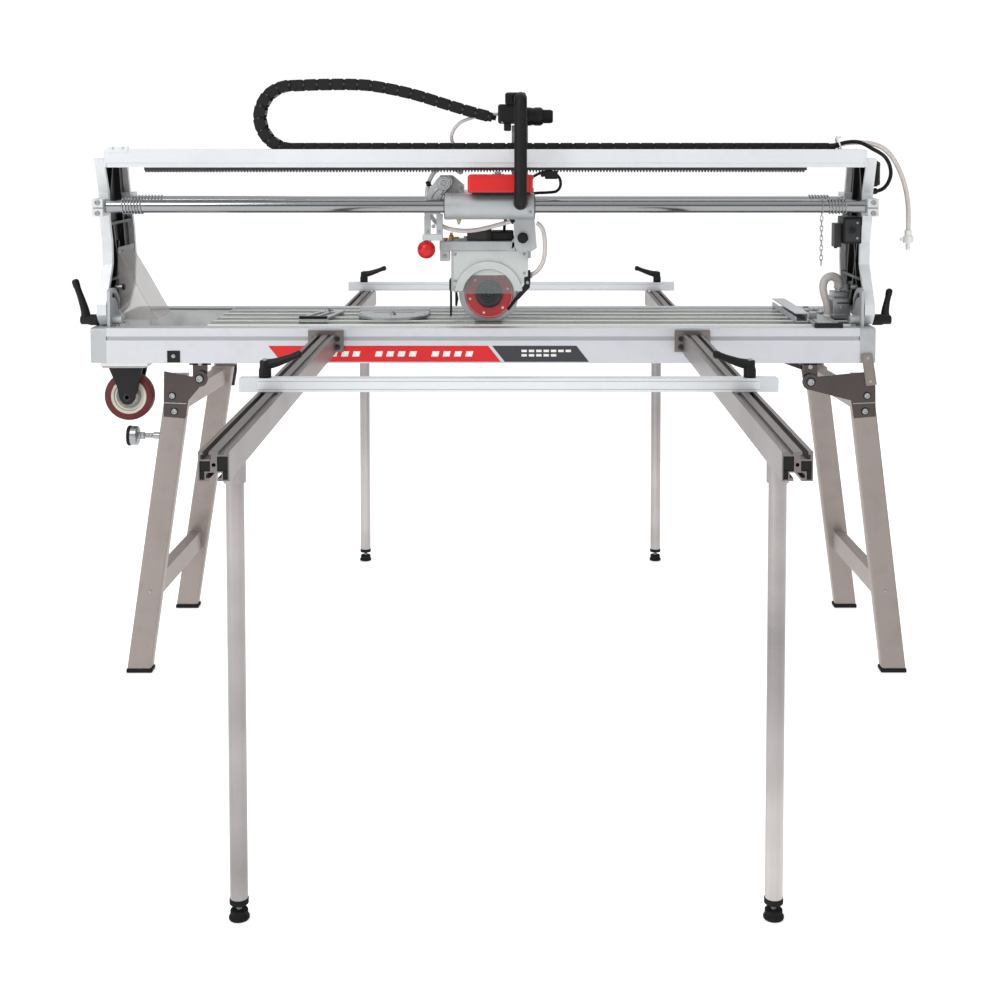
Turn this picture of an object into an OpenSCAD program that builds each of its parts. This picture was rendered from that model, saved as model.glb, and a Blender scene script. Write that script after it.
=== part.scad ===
// Rail tile saw: a long water table on two folding trestles, a tilting bridge
// with a motor-fed cutting head, and side extensions with sliding cross bars.
// X runs along the cut, Y from the front to the back, Z up from the floor.

/* [Table] */
// Length of the table frame along the cut
table_len = 1600; // [1580:10:1640]
// Depth of the table frame, front face to back face
table_depth = 410; // [400:5:420]
// Height of the rails' top face above the floor
rail_top = 700; // [700:5:720]
// Height of a rail
rail_h = 72; // [70:1:76]
// Width of a rail
rail_w = 40; // [36:1:42]
// Thickness of a cast end cap
cap_w = 32; // [28:1:36]
// Spacing of the table slats, centre to centre
slat_pitch = 65; // [62:0.5:66]
// Width of a table slat
slat_w = 51; // [46:1:52]

/* [Bridge] */
// Distance from the bridge's middle to the outer face of an upright
upright_out = 797; // [795:1:800]
// Thickness of an upright
upright_t = 20; // [18:1:22]
// Sideways offset of the bridge from the table's middle
bridge_x = 5; // [0:1:6]
// Height of the guide bars' axes above the floor
bar_z = 947.5; // [945:0.5:950]
// Diameter of a guide bar
bar_d = 27; // [25:1:28]
// Outer diameter of a bearing sleeve
sleeve_d = 54; // [50:1:56]

/* [Cutting head] */
// Diameter of the blade
blade_d = 125; // [115:5:125]
// Height of the blade's axis above the floor
blade_z = 760; // [760:1:764]
// Pitch radius of the feed pinion
pinion_r = 13; // [13:13:13]

/* [Extensions] */
// Spacing of the extension arms, centre to centre
arm_spacing = 746; // [700:2:760]
// Length of a front arm
front_arm_len = 1163; // [1100:1:1200]
// Length of a rear arm
rear_arm_len = 490; // [450:5:520]
// Length of a cross bar
cross_len = 850; // [840:5:860]
// Diameter of an extension leg
leg_d = 25; // [22:1:28]

/* [Hidden] */
$fn = 48;

// main faces of the table
front_y = -table_depth / 2;
rear_y = table_depth / 2;
half = table_len / 2;
inner_x = half - cap_w;
rail_bottom = rail_top - rail_h;
slat_top = rail_top + 2;
cut_y = -105;

// tilting bridge
tilt_y = -160;
tilt_z = 712;
pin_r = 6;
fit = 0.05;
front_bar_y = -180;
rear_bar_y = 20;
in_face = upright_out - upright_t;
upright_top = 1045;
beam_y0 = -190;
beam_y1 = -124;
beam_top = 1064;
beam_bottom = 1037;
rack_y0 = -178;
rack_y1 = -162;

// energy chain: centre line radius, half depth and the middle of its loop
chain_y = -157;
chain_w = 38;
chain_t = 24;
loop_r = 64;
loop_x = -394;
chain_low = 1053.5 + chain_t / 2;
chain_high = chain_low + 2 * loop_r;
chain_end_x = 709;

// rack and pinion: module 2
tooth_pitch = 2 * PI;
pinion_teeth = 13;
pinion_x = 30;
pitch_z = 1018.5;
pinion_z = pitch_z - pinion_r;

// head hinge and blade
hinge_x = 81;
hinge_z = 881;
blade_x = 10;
plunge_x = -78;
plunge_z = 998;

// extension arms
arm_x = 53;
arm_w = 40;
arm_h = 38;
arm_top = 688;
arm_bottom = arm_top - arm_h;
front_bar_front = -914;
rear_bar_front = 666;
bar_depth = 24;
cross_z = arm_top + 0.3;
cross_h = 21.5;
front_leg_y = -1223;
rear_leg_y = 583;

// trestle pivots: [pivot x, pivot z, top of leg x, foot x]
left_pivot = [-578, 597];
right_pivot = [668, 590];
left_top_x = -626;
left_foot_x = -700;
right_top_x = 775;
right_foot_x = 836;
leg_w = 49;
leg_t = 28;
foot_front_y = -232;
foot_rear_y = 196;
top_front_y = -190;
top_rear_y = 166;
leg_top_z = 566;
// how much further in the rear leg of a trestle stands, at its top and at its foot
rear_top_in = 24;
rear_foot_in = 6;

// caster
wheel_r = 51;
wheel_x = -735;
wheel_z = 553;
caster_y = -150;

// the whole model is moved so that its box is centred on X and Y
shift_x = -bridge_x;
shift_y = (front_arm_len - rear_arm_len) / 2;

// routes of the tubes, in table coordinates
hose_route = [
  [712, -146, 1067], [726, -146, 1071], [744, -146, 1076], [764, -145, 1078], [784, -141, 1077],
  [802, -134, 1075], [818, -124, 1071], [834, -113, 1064], [850, -103, 1051], [865, -94, 1032],
  [878, -87, 1008], [888, -82, 980], [894, -79, 950], [896, -78, 920], [896, -78, 892]
];
cable_route = [
  [712, -158, 1066], [728, -158, 1073], [746, -158, 1078], [766, -157, 1079], [784, -152, 1074],
  [804, -142, 1064], [822, -127, 1056], [838, -110, 1046], [850, -97, 1030], [855, -88, 1011],
  [851, -83, 993], [841, -80, 980], [829.6, -80, 975.6]
];
left_hose_route = [
  [-46, -132, 1014], [-62, -133, 1023], [-80, -135, 1026], [-96, -137, 1021], [-107, -139, 1009],
  [-114, -140, 992], [-117, -141, 972], [-117, -141, 951], [-111, -141, 930], [-99, -142, 913],
  [-82, -143, 903], [-62, -145, 897], [-38, -146, 895], [-14, -146, 897], [10, -146, 902],
  [32, -146, 908], [50, -146, 913], [60, -146, 916]
];
right_hose_route = [
  [109.5, -147, 911.5], [115, -147, 908], [122, -146, 898], [126, -144, 881], [127, -140, 862],
  [126, -136, 843], [121, -132, 825], [112, -125, 811], [102, -117, 803], [94.8, -113, 799.5]
];

module placed() {
  translate([shift_x, shift_y, 0]) children();
}

// ---- helpers ----

// a profile drawn with x along Y and y along Z, extruded along X
module along_x(x0, x1) {
  translate([x0, 0, 0]) rotate([90, 0, 90]) linear_extrude(x1 - x0) children();
}

// a profile drawn with x along X and y along Z, extruded along Y
module along_y(y0, y1) {
  translate([0, y1, 0]) rotate([90, 0, 0]) linear_extrude(y1 - y0) children();
}

module block(a, b) {
  translate(a) cube(b - a);
}

module rod_x(x0, x1, y, z, r) {
  translate([x0, y, z]) rotate([0, 90, 0]) cylinder(h = x1 - x0, r = r);
}

module rod_y(y0, y1, x, z, r) {
  translate([x, y1, z]) rotate([90, 0, 0]) cylinder(h = y1 - y0, r = r);
}

module rod_z(z0, z1, x, y, r) {
  translate([x, y, z0]) cylinder(h = z1 - z0, r = r);
}

module rounded(w, h, r) {
  translate([r, 0]) square([w - 2 * r, h]);
  translate([0, r]) square([w, h - 2 * r]);
  for (x = [r, w - r], y = [r, h - r]) translate([x, y]) circle(r);
}

// a tube of one radius swept along points: rings lie across the local direction
function unit(v) = v / norm(v);
function along(p, i) = unit(p[min(i + 1, len(p) - 1)] - p[max(i - 1, 0)]);
function across(t) = unit(cross(t, abs(t[1]) < 0.9 ? [0, 1, 0] : [1, 0, 0]));
function ring(p, i, r, n) = let (t = along(p, i), u = across(t), v = cross(t, u))
  [for (k = [0 : n - 1]) p[i] + r * (cos(360 * k / n) * u + sin(360 * k / n) * v)];
module swept_tube(p, r, n = 8) {
  m = len(p);
  points = [for (i = [0 : m - 1]) each ring(p, i, r, n)];
  faces = concat(
    [[for (k = [0 : n - 1]) k]],
    [for (i = [0 : m - 2], k = [0 : n - 1]) [i * n + k, (i + 1) * n + k, (i + 1) * n + (k + 1) % n]],
    [for (i = [0 : m - 2], k = [0 : n - 1]) [i * n + k, (i + 1) * n + (k + 1) % n, i * n + (k + 1) % n]],
    [[for (k = [n - 1 : -1 : 0]) (m - 1) * n + k]]);
  polyhedron(points, faces, convexity = 6);
}

// ---- table frame ----

// rail profile: T-slot on the side that faces -x, two chambers inside
module rail_profile() {
  difference() {
    square([rail_w, rail_h]);
    translate([-1, 47]) square([5, 8]);
    translate([3, 44]) square([6, 14]);
    translate([12, 44]) square([rail_w - 16, rail_h - 48]);
    translate([4, 4]) square([rail_w - 8, 36]);
  }
}

module rails() {
  placed() color("gainsboro") {
    along_x(-inner_x, inner_x) translate([front_y, rail_bottom]) rail_profile();
    along_x(-inner_x, inner_x) translate([rear_y, rail_bottom]) mirror([1, 0]) rail_profile();
  }
}

module end_caps() {
  placed() color("darkgray") for (s = [-1, 1]) mirror_x(s) difference() {
    translate([inner_x, 0, 0]) along_x(0, cap_w)
      translate([front_y, rail_bottom]) rounded(table_depth, rail_h, 6);
    // shallow cored pockets in the outer face
    for (y = [-160, -50, 60]) block([half - 14, y, rail_bottom + 12], [half + 1, y + 96, rail_top - 12]);
  }
}

// exact mirror in X, used for pairs of parts
module mirror_x(s) {
  mirror([s < 0 ? 1 : 0, 0, 0]) children();
}

// shallow pan between the rails, with its drain and the bars that carry the slats
module tray() {
  y0 = front_y + rail_w;
  y1 = rear_y - rail_w;
  placed() color("silver") difference() {
    union() {
      difference() {
        block([-inner_x, y0, 640], [inner_x, y1, 668]);
        block([-inner_x + 2, y0 + 2, 642], [inner_x - 2, y1 - 2, 669]);
      }
      for (x = [-566, -180, 240, 700]) block([x, y0 + 1, 641], [x + 24, y1 - 1, 672]);
      rod_z(586, 641, -14, 0, 8);
      rod_z(628, 641, -14, 0, 12);
    }
    rod_z(585, 700, -14, 0, 6);
  }
}

// inverted channels with a gap between them for the blade
module slats() {
  placed() color("darkseagreen") for (k = [0 : 4]) {
    y = cut_y - slat_pitch / 2 + k * slat_pitch;
    along_x(-570, inner_x - 2) translate([y - slat_w / 2, 672]) difference() {
      square([slat_w, slat_top - 672]);
      translate([4, -1]) square([slat_w - 8, slat_top - 672 - 3]);
    }
  }
}

// plates under the rails that carry the trestle pivots
module fixed_lugs() {
  placed() color("dimgray") {
    for (p = [left_pivot, right_pivot], s = [-1, 1]) difference() {
      along_y(s < 0 ? -203 : 198, s < 0 ? -198 : 203) union() {
        translate([p[0], p[1]]) circle(15);
        translate([p[0] - 15, p[1]]) square([30, rail_bottom - p[1]]);
      }
      rod_y(-300, 300, p[0], p[1], pin_r + fit);
    }
    block([-644, front_y - 2, 630], [-618, front_y, 654]);
    // strip that catches the right trestle when it is folded
    along_y(-212, -210) polygon([[770, 646], [792, 649], [802, 585], [780, 582]]);
    rod_y(-213, front_y, 783, 640, 4);
  }
}

// black plates inside the uprights: tilt scale, pivot pin and its bush
module pivot_plates() {
  placed() color("darkslategray") for (s = [-1, 1]) translate([bridge_x, 0, 0]) mirror_x(s) {
    difference() {
      along_x(in_face - 7, in_face - 1) difference() {
        union() {
          translate([tilt_y - 24, rail_top]) square([70, 12]);
          intersection() {
            translate([tilt_y, tilt_z]) circle(66);
            translate([tilt_y - 24, rail_top]) square([78, 90]);
          }
        }
        intersection() {
          difference() {
            translate([tilt_y, tilt_z]) circle(56);
            translate([tilt_y, tilt_z]) circle(46);
          }
          translate([tilt_y - 4, tilt_z + 12]) square([60, 60]);
        }
      }
    }
    rod_x(in_face - 26, in_face - 7, tilt_y, tilt_z, 9);
    rod_x(in_face - 1, upright_out + 30, tilt_y, tilt_z, pin_r);
  }
}

// ---- caster at the left end ----

module caster_forks() {
  placed() color("black") {
    y = caster_y;
    block([-788, y - 30, rail_bottom - 6], [-690, y + 30, rail_bottom]);
    for (t = [-1, 1]) difference() {
      along_y(y + t * 21 - 3, y + t * 21 + 3)
        polygon([[-776, rail_bottom - 6], [-702, rail_bottom - 6], [-720, wheel_z - 10],
                 [-735, wheel_z - 16], [-750, wheel_z - 10]]);
      rod_y(y - 40, y + 40, wheel_x, wheel_z, 5 + fit);
    }
    rod_y(y - 27, y + 27, wheel_x, wheel_z, 5);
  }
}

module wheel(y) {
  translate([wheel_x, y, wheel_z]) rotate([90, 0, 0]) rotate_extrude($fn = 64)
    polygon([[5 + fit, -16], [14, -16], [14, -10], [30, -10], [30, -14], [46, -14], [wheel_r, -9],
             [wheel_r, 9], [46, 14], [30, 14], [30, 10], [14, 10], [14, 16], [5 + fit, 16]]);
}

module wheel_front() { placed() color("darkred") wheel(caster_y); }

// ---- pump in the right bay ----

module pump() {
  placed() color("gray") {
    difference() {
      block([738, -76, slat_top], [778, -4, 760]);
      for (k = [0 : 3]) block([737, -68 + k * 16, slat_top + 8], [741, -60 + k * 16, 748]);
    }
    rod_z(760, 770, 758, -40, 7);
  }
}

// ---- side extensions ----

// arm profile: outer side towards +x, top at y = 0
module arm_profile() {
  difference() {
    translate([-arm_w / 2, -arm_h]) square([arm_w, arm_h]);
    translate([6, -4]) square([8, 5]);
    translate([3, -10]) square([14, 6]);
    translate([-14, -4]) square([8, 5]);
    translate([-5, -arm_h - 1]) square([10, 5]);
    translate([-10, -arm_h + 4]) square([20, 7]);
    polygon([[-18.2, -6], [-4.5, -6], [-4.5, -25.4], [-11.8, -25.4], [-11.8, -36.2], [-18.2, -36.2]]);
    polygon([[18.2, -12], [4.5, -12], [4.5, -25.4], [11.8, -25.4], [11.8, -36.2], [18.2, -36.2]]);
    translate([0, -17]) circle(2.6);
  }
}

module arm(side, y0, y1) {
  translate([arm_x + side * arm_spacing / 2, 0, arm_top]) along_y(y0, y1)
    mirror([side < 0 ? 1 : 0, 0]) arm_profile();
}

module arms() {
  placed() color("lightgray") for (s = [-1, 1]) {
    arm(s, front_y - front_arm_len, front_y - 6);
    arm(s, rear_y + 6, rear_y + rear_arm_len);
  }
}

// plates that join the arms to the rails
module arm_brackets() {
  placed() color("lightgray") for (s = [-1, 1], f = [-1, 1]) {
    x = arm_x + s * arm_spacing / 2;
    block([x - 36, f < 0 ? front_y - 6 : rear_y, 652], [x + 36, f < 0 ? front_y : rear_y + 6, 696]);
  }
}

// round leg with its socket under the arm, bored for the screw of its foot
module extension_legs() {
  placed() color("silver") for (s = [-1, 1], y = [front_leg_y, rear_leg_y]) {
    x = arm_x + s * arm_spacing / 2;
    difference() {
      union() {
        rod_z(22, arm_bottom, x, y, leg_d / 2);
        rod_z(arm_bottom - 34, arm_bottom, x, y, leg_d / 2 + 3);
      }
      rod_z(21, 96, x, y, 4 + fit);
    }
  }
}

module foot(side, y) {
  x = arm_x + side * arm_spacing / 2;
  placed() color("dimgray") {
    rod_z(13, 88, x, y, 4);
    rod_z(6, 14, x, y, 12.5);
    rod_z(0, 6, x, y, 14.5);
  }
}

module foot_front_left() { foot(-1, front_leg_y); }
module foot_front_right() { foot(1, front_leg_y); }
module foot_rear_left() { foot(-1, rear_leg_y); }
module foot_rear_right() { foot(1, rear_leg_y); }

// ---- cross bars ----

module cross_bar(y0) {
  x0 = arm_x + 2 - cross_len / 2;
  difference() {
    union() {
      block([x0 + 4, y0, cross_z], [x0 + cross_len - 4, y0 + bar_depth, cross_z + cross_h]);
      for (x = [x0, x0 + cross_len - 4])
        block([x, y0 + 1, cross_z + 1], [x + 4, y0 + bar_depth - 1, cross_z + cross_h - 1]);
    }
    block([x0 + 28, y0 + 2, cross_z + 2], [x0 + cross_len - 28, y0 + bar_depth - 2, cross_z + cross_h - 2]);
    for (s = [-1, 1])
      rod_z(cross_z - 1, cross_z + cross_h + 1, arm_x + s * (arm_spacing / 2 + 10), y0 + bar_depth / 2, 3.6);
  }
}

module front_bar() { placed() color("whitesmoke") cross_bar(front_bar_front); }
module rear_bar() { placed() color("whitesmoke") cross_bar(rear_bar_front); }

// clamp lever: splined hub, raised arm and the stud down to a slot nut
module clamp_lever(x, y, turn) {
  translate([x, y, 0]) rotate([0, 0, turn]) {
    z = cross_z + cross_h + 0.3;
    rod_z(z, z + 27, 0, 0, 8);
    rod_z(z, z + 16, 0, 0, 9.5);
    hull() {
      rod_z(z + 17, z + 27, 0, 0, 7);
      translate([56, 0, z + 36]) sphere(6, $fn = 24);
    }
    rod_z(arm_top - 5, z + 1, 0, 0, 3.5);
    rod_z(arm_top - 9, arm_top - 5, 0, 0, 6);
  }
}

module bar_lever(side, y) {
  placed() color("black")
    clamp_lever(arm_x + side * (arm_spacing / 2 + 10), y + bar_depth / 2, side < 0 ? 0 : 180);
}

module lever_front_left() { bar_lever(-1, front_bar_front); }
module lever_front_right() { bar_lever(1, front_bar_front); }
module lever_rear_left() { bar_lever(-1, rear_bar_front); }
module lever_rear_right() { bar_lever(1, rear_bar_front); }

// ---- trestles ----

// one leaning tube from [x, y] at the floor to [x, y] at the top
module leaning_leg(foot, top) {
  hull() {
    translate([foot[0] - leg_w / 2, foot[1] - leg_t / 2, 12]) cube([leg_w, leg_t, 1]);
    translate([top[0] - leg_w / 2, top[1] - leg_t / 2, leg_top_z]) cube([leg_w, leg_t, 1]);
  }
}

function between(a, b, z) = a + (b - a) * (z - 12) / (leg_top_z - 12);

// a welded frame of two legs and two cross tubes, with its pivot ears and feet
module trestle(foot_x, top_x, pivot) {
  low_z = 164;
  high_z = leg_top_z - 16;
  reach = pivot[0] > 0 ? -1 : 1;
  // the rear leg stands a little further in than the front one
  rear_foot_x = foot_x + reach * rear_foot_in;
  rear_top_x = top_x + reach * rear_top_in;
  for (y = [0, 1]) {
    foot = y == 0 ? [foot_x, foot_front_y] : [rear_foot_x, foot_rear_y];
    top = y == 0 ? [top_x, top_front_y] : [rear_top_x, top_rear_y];
    side = y == 0 ? -1 : 1;
    leaning_leg(foot, top);
    block([foot[0] - leg_w / 2 - 2, foot[1] - leg_t / 2 - 2, 0],
      [foot[0] + leg_w / 2 + 2, foot[1] + leg_t / 2 + 2, 12]);
    // ear plate from the leg's outer face to the pivot, with the pivot pin
    ear = side < 0 ? [-209, -204.2] : [204.2, 209];
    along_y(ear[0], ear[1]) polygon(concat(
      [for (a = [0 : 20 : 180]) pivot + 17 * [reach * sin(a), cos(a)]],
      [[top[0] + reach * leg_w / 2, 552], [top[0] + reach * (leg_w / 2 - 6), 515],
       [top[0] - reach * (leg_w / 2 + 2), 519], [top[0] - reach * leg_w / 2, 612],
       [pivot[0] - reach * 16, 601]]));
    rod_y(side < 0 ? ear[1] : 192, side < 0 ? -192 : ear[0], pivot[0], pivot[1], pin_r);
    rod_y(side < 0 ? ear[0] - 4 : ear[1], side < 0 ? ear[0] : ear[1] + 4, pivot[0], pivot[1], 9);
    for (z = [530, 562])
      rod_y(side < 0 ? ear[0] - 4 : ear[1], side < 0 ? ear[0] : ear[1] + 4, top[0] - reach * 4, z, 6);
    // spacer between the leg and the ear plate
    block([top[0] - 20, side < 0 ? ear[1] - 0.1 : top[1] + 10, 520],
          [top[0] + 20, side < 0 ? top[1] - 10 : ear[0] + 0.1, 560]);
  }
  // cross members between the two legs: [height, half width, half height]
  for (bar = [[low_z, 12, 22], [high_z, 14, 14]]) {
    front = [between(foot_x, top_x, bar[0]), between(foot_front_y, top_front_y, bar[0])];
    rear = [between(rear_foot_x, rear_top_x, bar[0]), between(foot_rear_y, top_rear_y, bar[0])];
    translate([0, 0, bar[0] - bar[2]]) linear_extrude(height = 2 * bar[2]) polygon([
      [front[0] - bar[1], front[1]], [front[0] + bar[1], front[1]],
      [rear[0] + bar[1], rear[1]], [rear[0] - bar[1], rear[1]]]);
  }
}

module trestle_left() {
  placed() color("rosybrown") {
    trestle(left_foot_x, left_top_x, left_pivot);
    // threaded bush for the bumper foot
    difference() {
      rod_x(-680, -660.5, -197, 478, 9);
      rod_x(-681, -664, -197, 478, 4.5 + fit);
    }
  }
}

module trestle_right() { placed() color("rosybrown") trestle(right_foot_x, right_top_x, right_pivot); }

// screw foot on the left trestle: the machine rests on it when stood on end
module bumper_foot() {
  placed() color("dimgray") translate([-728, -197, 478]) rotate([0, 90, 0]) {
    cylinder(h = 9, r = 21);
    translate([0, 0, 9]) cylinder(h = 12, r1 = 17, r2 = 7);
    translate([0, 0, 21]) cylinder(h = 42, r = 4.5);
  }
}

// ---- bridge ----

// outline of an upright seen from its side: [y, z]
upright_outline = [
  [-167, 703.5], [-186, 724], [-186, 746], [-134, 824], [-136, 870], [-152, 915], [-158, 975],
  [-190, upright_top], [6, upright_top], [14, 1012], [28, 972], [62, 888], [72, 830], [60, 764],
  [4, 722], [-120, 703]
];
// edge of the recess in its inner face
recess_outline = [
  [-132, 728], [-172, 748], [-122, 824], [-124, 872], [-141, 920], [-146, 978], [-176, 1035],
  [-2, 1035], [4, 1010], [17, 972], [51, 886], [61, 830], [50, 770], [0, 734], [-100, 722]
];

module rear_clamp_shape() {
  translate([-4, 926]) square([64, 43]);
}

module uprights() {
  placed() color("lightgray") for (s = [-1, 1]) translate([bridge_x, 0, 0]) mirror_x(s) difference() {
    union() {
      along_x(in_face, upright_out) difference() {
        polygon(upright_outline);
        polygon(recess_outline);
      }
      along_x(in_face - 1, upright_out + 1) translate([-206, 928]) square([58, 35]);
      along_x(in_face - 6, upright_out) rear_clamp_shape();
    }
    rod_x(in_face - 10, upright_out - 4, front_bar_y, bar_z, bar_d / 2 + fit);
    rod_x(in_face - 10, upright_out - 4, rear_bar_y, bar_z, bar_d / 2 + fit);
    rod_x(in_face - 10, upright_out + 10, tilt_y, tilt_z, pin_r + fit);
    block([in_face - 2, -207, 944], [upright_out + 2, -193.5, 946]);
  }
}

// black recessed panel with diagonal stiffeners
module upright_webs() {
  placed() color("black") for (s = [-1, 1]) translate([bridge_x, 0, 0]) mirror_x(s) {
    along_x(upright_out - 8, upright_out - 2) web_shape();
    along_x(in_face + 2, upright_out - 8) intersection() {
      web_shape();
      union() {
        for (a = [[-180, 1030, -20], [-110, 1030, -20], [-60, 1030, 14], [-110, 900, 24], [-70, 860, -16]])
          translate([a[0], a[1]]) rotate(a[2]) translate([-3, -260]) square([6, 270]);
        translate([-200, 906]) square([280, 6]);
        translate([-200, 790]) square([280, 6]);
      }
    }
  }
}

module web_shape() {
  difference() {
    polygon(recess_outline);
    rear_clamp_shape();
    translate([-206, 928]) square([58, 35]);
  }
}

// open channel on top, chamber below, lip in front for the rack
module beam() {
  x0 = bridge_x - in_face + 0.5;
  x1 = bridge_x + in_face - 0.5;
  placed() color("white") {
    along_x(x0 + 4, x1 - 4) difference() {
      union() {
        translate([beam_y0, beam_bottom]) square([beam_y1 - beam_y0, beam_top - beam_bottom]);
        translate([beam_y0 + 3, 1027]) square([40, beam_bottom - 1027]);
      }
      translate([beam_y0 + 4, 1052]) square([beam_y1 - beam_y0 - 8, 20]);
      translate([beam_y0 + 4, 1040]) square([beam_y1 - beam_y0 - 8, 9]);
    }
    for (x = [x0, x1 - 4]) difference() {
      block([x, beam_y0 + 1, 1028], [x + 4, beam_y1 - 1, 1062]);
      for (y = [-174, -140]) rod_x(x - 1, x + 5, y, 1044.5, 2.5);
    }
    // clip on the left end, and the plate under the chain's fixed end
    block([-762, beam_y0 - 1.5, 1057], [-722, beam_y0, beam_top + 5]);
    block([-762, beam_y0 - 1.5, beam_top], [-722, beam_y0 + 7, beam_top + 5]);
    block([688, chain_y - 16, 1051], [709, chain_y + 16, 1053.4]);
  }
}

module rack() {
  x0 = pinion_x - 115 * tooth_pitch;
  n = 215;
  root = pitch_z + 2.4;
  tip = pitch_z - 1.8;
  placed() color("black") along_y(rack_y0, rack_y1) polygon(concat(
    [[x0, 1027], [x0, root]],
    [for (k = [0 : n - 1]) let (c = tooth_base(k)) each
      [[c - 2.0, root], [c - 0.7, tip], [c + 0.7, tip], [c + 2.0, root]]],
    [[x0 + (n + 0.5) * tooth_pitch, root], [x0 + (n + 0.5) * tooth_pitch, 1027]]));
}

// rack teeth are counted so that one gap stands over the pinion's middle
function tooth_base(k) = pinion_x + (k - 114.5) * tooth_pitch;

module guide_bars() {
  placed() color("silver") for (y = [front_bar_y, rear_bar_y])
    rod_x(bridge_x - upright_out + 5, bridge_x + upright_out - 5, y, bar_z, bar_d / 2);
}

// links of the chain that hangs from the front bar's right end
module tether_links() {
  for (k = [0 : 9]) translate([692, front_bar_y, bar_z - 19 - k * 10]) rotate([90, 0, k % 2 * 90])
    difference() {
      translate([-3.4, -13, -1]) cube([6.8, 13.4, 2]);
      translate([-1.8, -11.4, -2]) cube([3.6, 10.2, 4]);
    }
  difference() {
    rod_x(691, 693, front_bar_y, bar_z, 20);
    rod_x(690, 694, front_bar_y, bar_z, bar_d / 2 + fit);
  }
}

// bumper springs: a thin sleeve with round coils
module bar_springs() {
  placed() color("gray") tether_links();
  placed() color("gray") for (a = [[-740, front_bar_y, 46], [-762, rear_bar_y, 66], [702, front_bar_y, 42],
                                    [702, rear_bar_y, 48]])
    translate([a[0], a[1], bar_z]) rotate([0, 90, 0]) difference() {
      union() {
        cylinder(h = a[2], r = bar_d / 2 + 1.2);
        for (k = [0 : 7]) translate([0, 0, 0.6 + k * (a[2] - 4) / 7])
          cylinder(h = 2.8, r = bar_d / 2 + 3.2);
      }
      translate([0, 0, -1]) cylinder(h = a[2] + 2, r = bar_d / 2 + fit);
    }
}

// frosted sheet that keeps spray off the left upright
module splash_shield() {
  x = bridge_x - in_face + 1;
  placed() color("lightgray", 0.6) {
    along_y(-92, 40) polygon([
      [x, 858], [x + 2, 858], [x + 2, 845], [x + 82, 705], [x + 80, 703.6], [x, 843]]);
    // front cheek of the splash guard
    along_y(-92, -90) polygon([[x, 843], [x + 80, 703.6], [x + 18, 703.6], [x, 724]]);
  }
}

module control_boxes() {
  placed() color("black") {
    block([743, -150, 868], [bridge_x + in_face - 0.2, -92, 924]);
    rod_y(-152, -150, 762, 896, 9);
    block([bridge_x + upright_out + 1, -112, 985], [828, -48, 1040]);
    rod_x(816, 828, -80, 974, 6);
    block([bridge_x + upright_out + 1, -90, 968], [818, -70, 985]);
  }
}

module power_cable() {
  placed() color("black") swept_tube(cable_route, 4);
}

module feed_hose() {
  placed() color("lightgray") swept_tube(hose_route, 5, 10);
}

// quick connector at the end of the feed hose
module hose_connector() {
  placed() color("white") translate([896, -78, 892]) {
    translate([0, 0, -12]) cylinder(h = 12, r = 7.5);
    translate([0, 0, -26]) cylinder(h = 14, r = 11);
    translate([0, 0, -42]) cylinder(h = 16, r = 5);
    translate([-17, -3, -22]) cube([17, 6, 6]);
  }
}

module valve_lever() {
  placed() color("black") {
    rod_x(730, 742.7, -120, 884, 5);
    block([731, -124, 856], [739, -116, 884]);
  }
}

// tilt lock lever: hub on the pin and a tapered arm
module tilt_lever(s, lean) {
  translate([bridge_x, 0, 0]) mirror_x(s) difference() {
    union() {
      rod_x(upright_out + 1.3, upright_out + 40, tilt_y, tilt_z, 11);
      translate([0, tilt_y, tilt_z]) rotate([lean, 0, 0]) hull() {
        rod_x(upright_out + 30, upright_out + 38.7, 0, 0, 8);
        translate([upright_out + 52, 0, 84]) sphere(7, $fn = 24);
      }
    }
    rod_x(upright_out, upright_out + 30.5, tilt_y, tilt_z, pin_r + fit);
  }
}

module tilt_lever_left() { placed() color("black") tilt_lever(-1, 0); }
module tilt_lever_right() { placed() color("black") tilt_lever(1, -48); }

// ---- energy chain ----

module chain_lower() {
  placed() color("black")
    block([loop_x + 0.2, chain_y - chain_w / 2, chain_low - chain_t / 2],
          [chain_end_x, chain_y + chain_w / 2, chain_low + chain_t / 2]);
}

module chain_loop() {
  placed() color("black") translate([loop_x, chain_y + chain_w / 2, chain_low + loop_r])
    rotate([90, 0, 0]) rotate([0, 0, 90]) rotate_extrude(angle = 180, $fn = 96)
      translate([loop_r - chain_t / 2, 0]) square([chain_t, chain_w]);
}

// heights of the upper run's middle, from the loop to the carriage
upper_run = [
  [loop_x + 0.2, chain_high], [-330, 1196], [-262, 1196], [-213, 1191], [-143, 1176], [-71, 1154],
  [-20, 1139], [26, 1127]
];

module chain_upper() {
  n = len(upper_run);
  placed() color("black") along_y(chain_y - chain_w / 2, chain_y + chain_w / 2) polygon(concat(
    [for (p = upper_run) p + [0, chain_t / 2]],
    [for (i = [n - 1 : -1 : 0]) upper_run[i] - [0, chain_t / 2]]));
}

// ---- carriage ----

module carriage() {
  placed() color("silver") difference() {
    union() {
      for (y = [front_bar_y, rear_bar_y]) rod_x(-78, 104, y, bar_z, sleeve_d / 2);
      block([-72, -158, 957], [98, 0, 968]);
      rod_z(914, 925, -50, front_bar_y, 4);
      // mast behind the beam up to the switch head
      block([58, -116, 960], [92, -108, 1113]);
      block([58, -116, 1104], [92, -101, 1113]);
    }
    for (y = [front_bar_y, rear_bar_y]) rod_x(-79, 105, y, bar_z, bar_d / 2 + fit + 0.02);
  }
}

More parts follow.
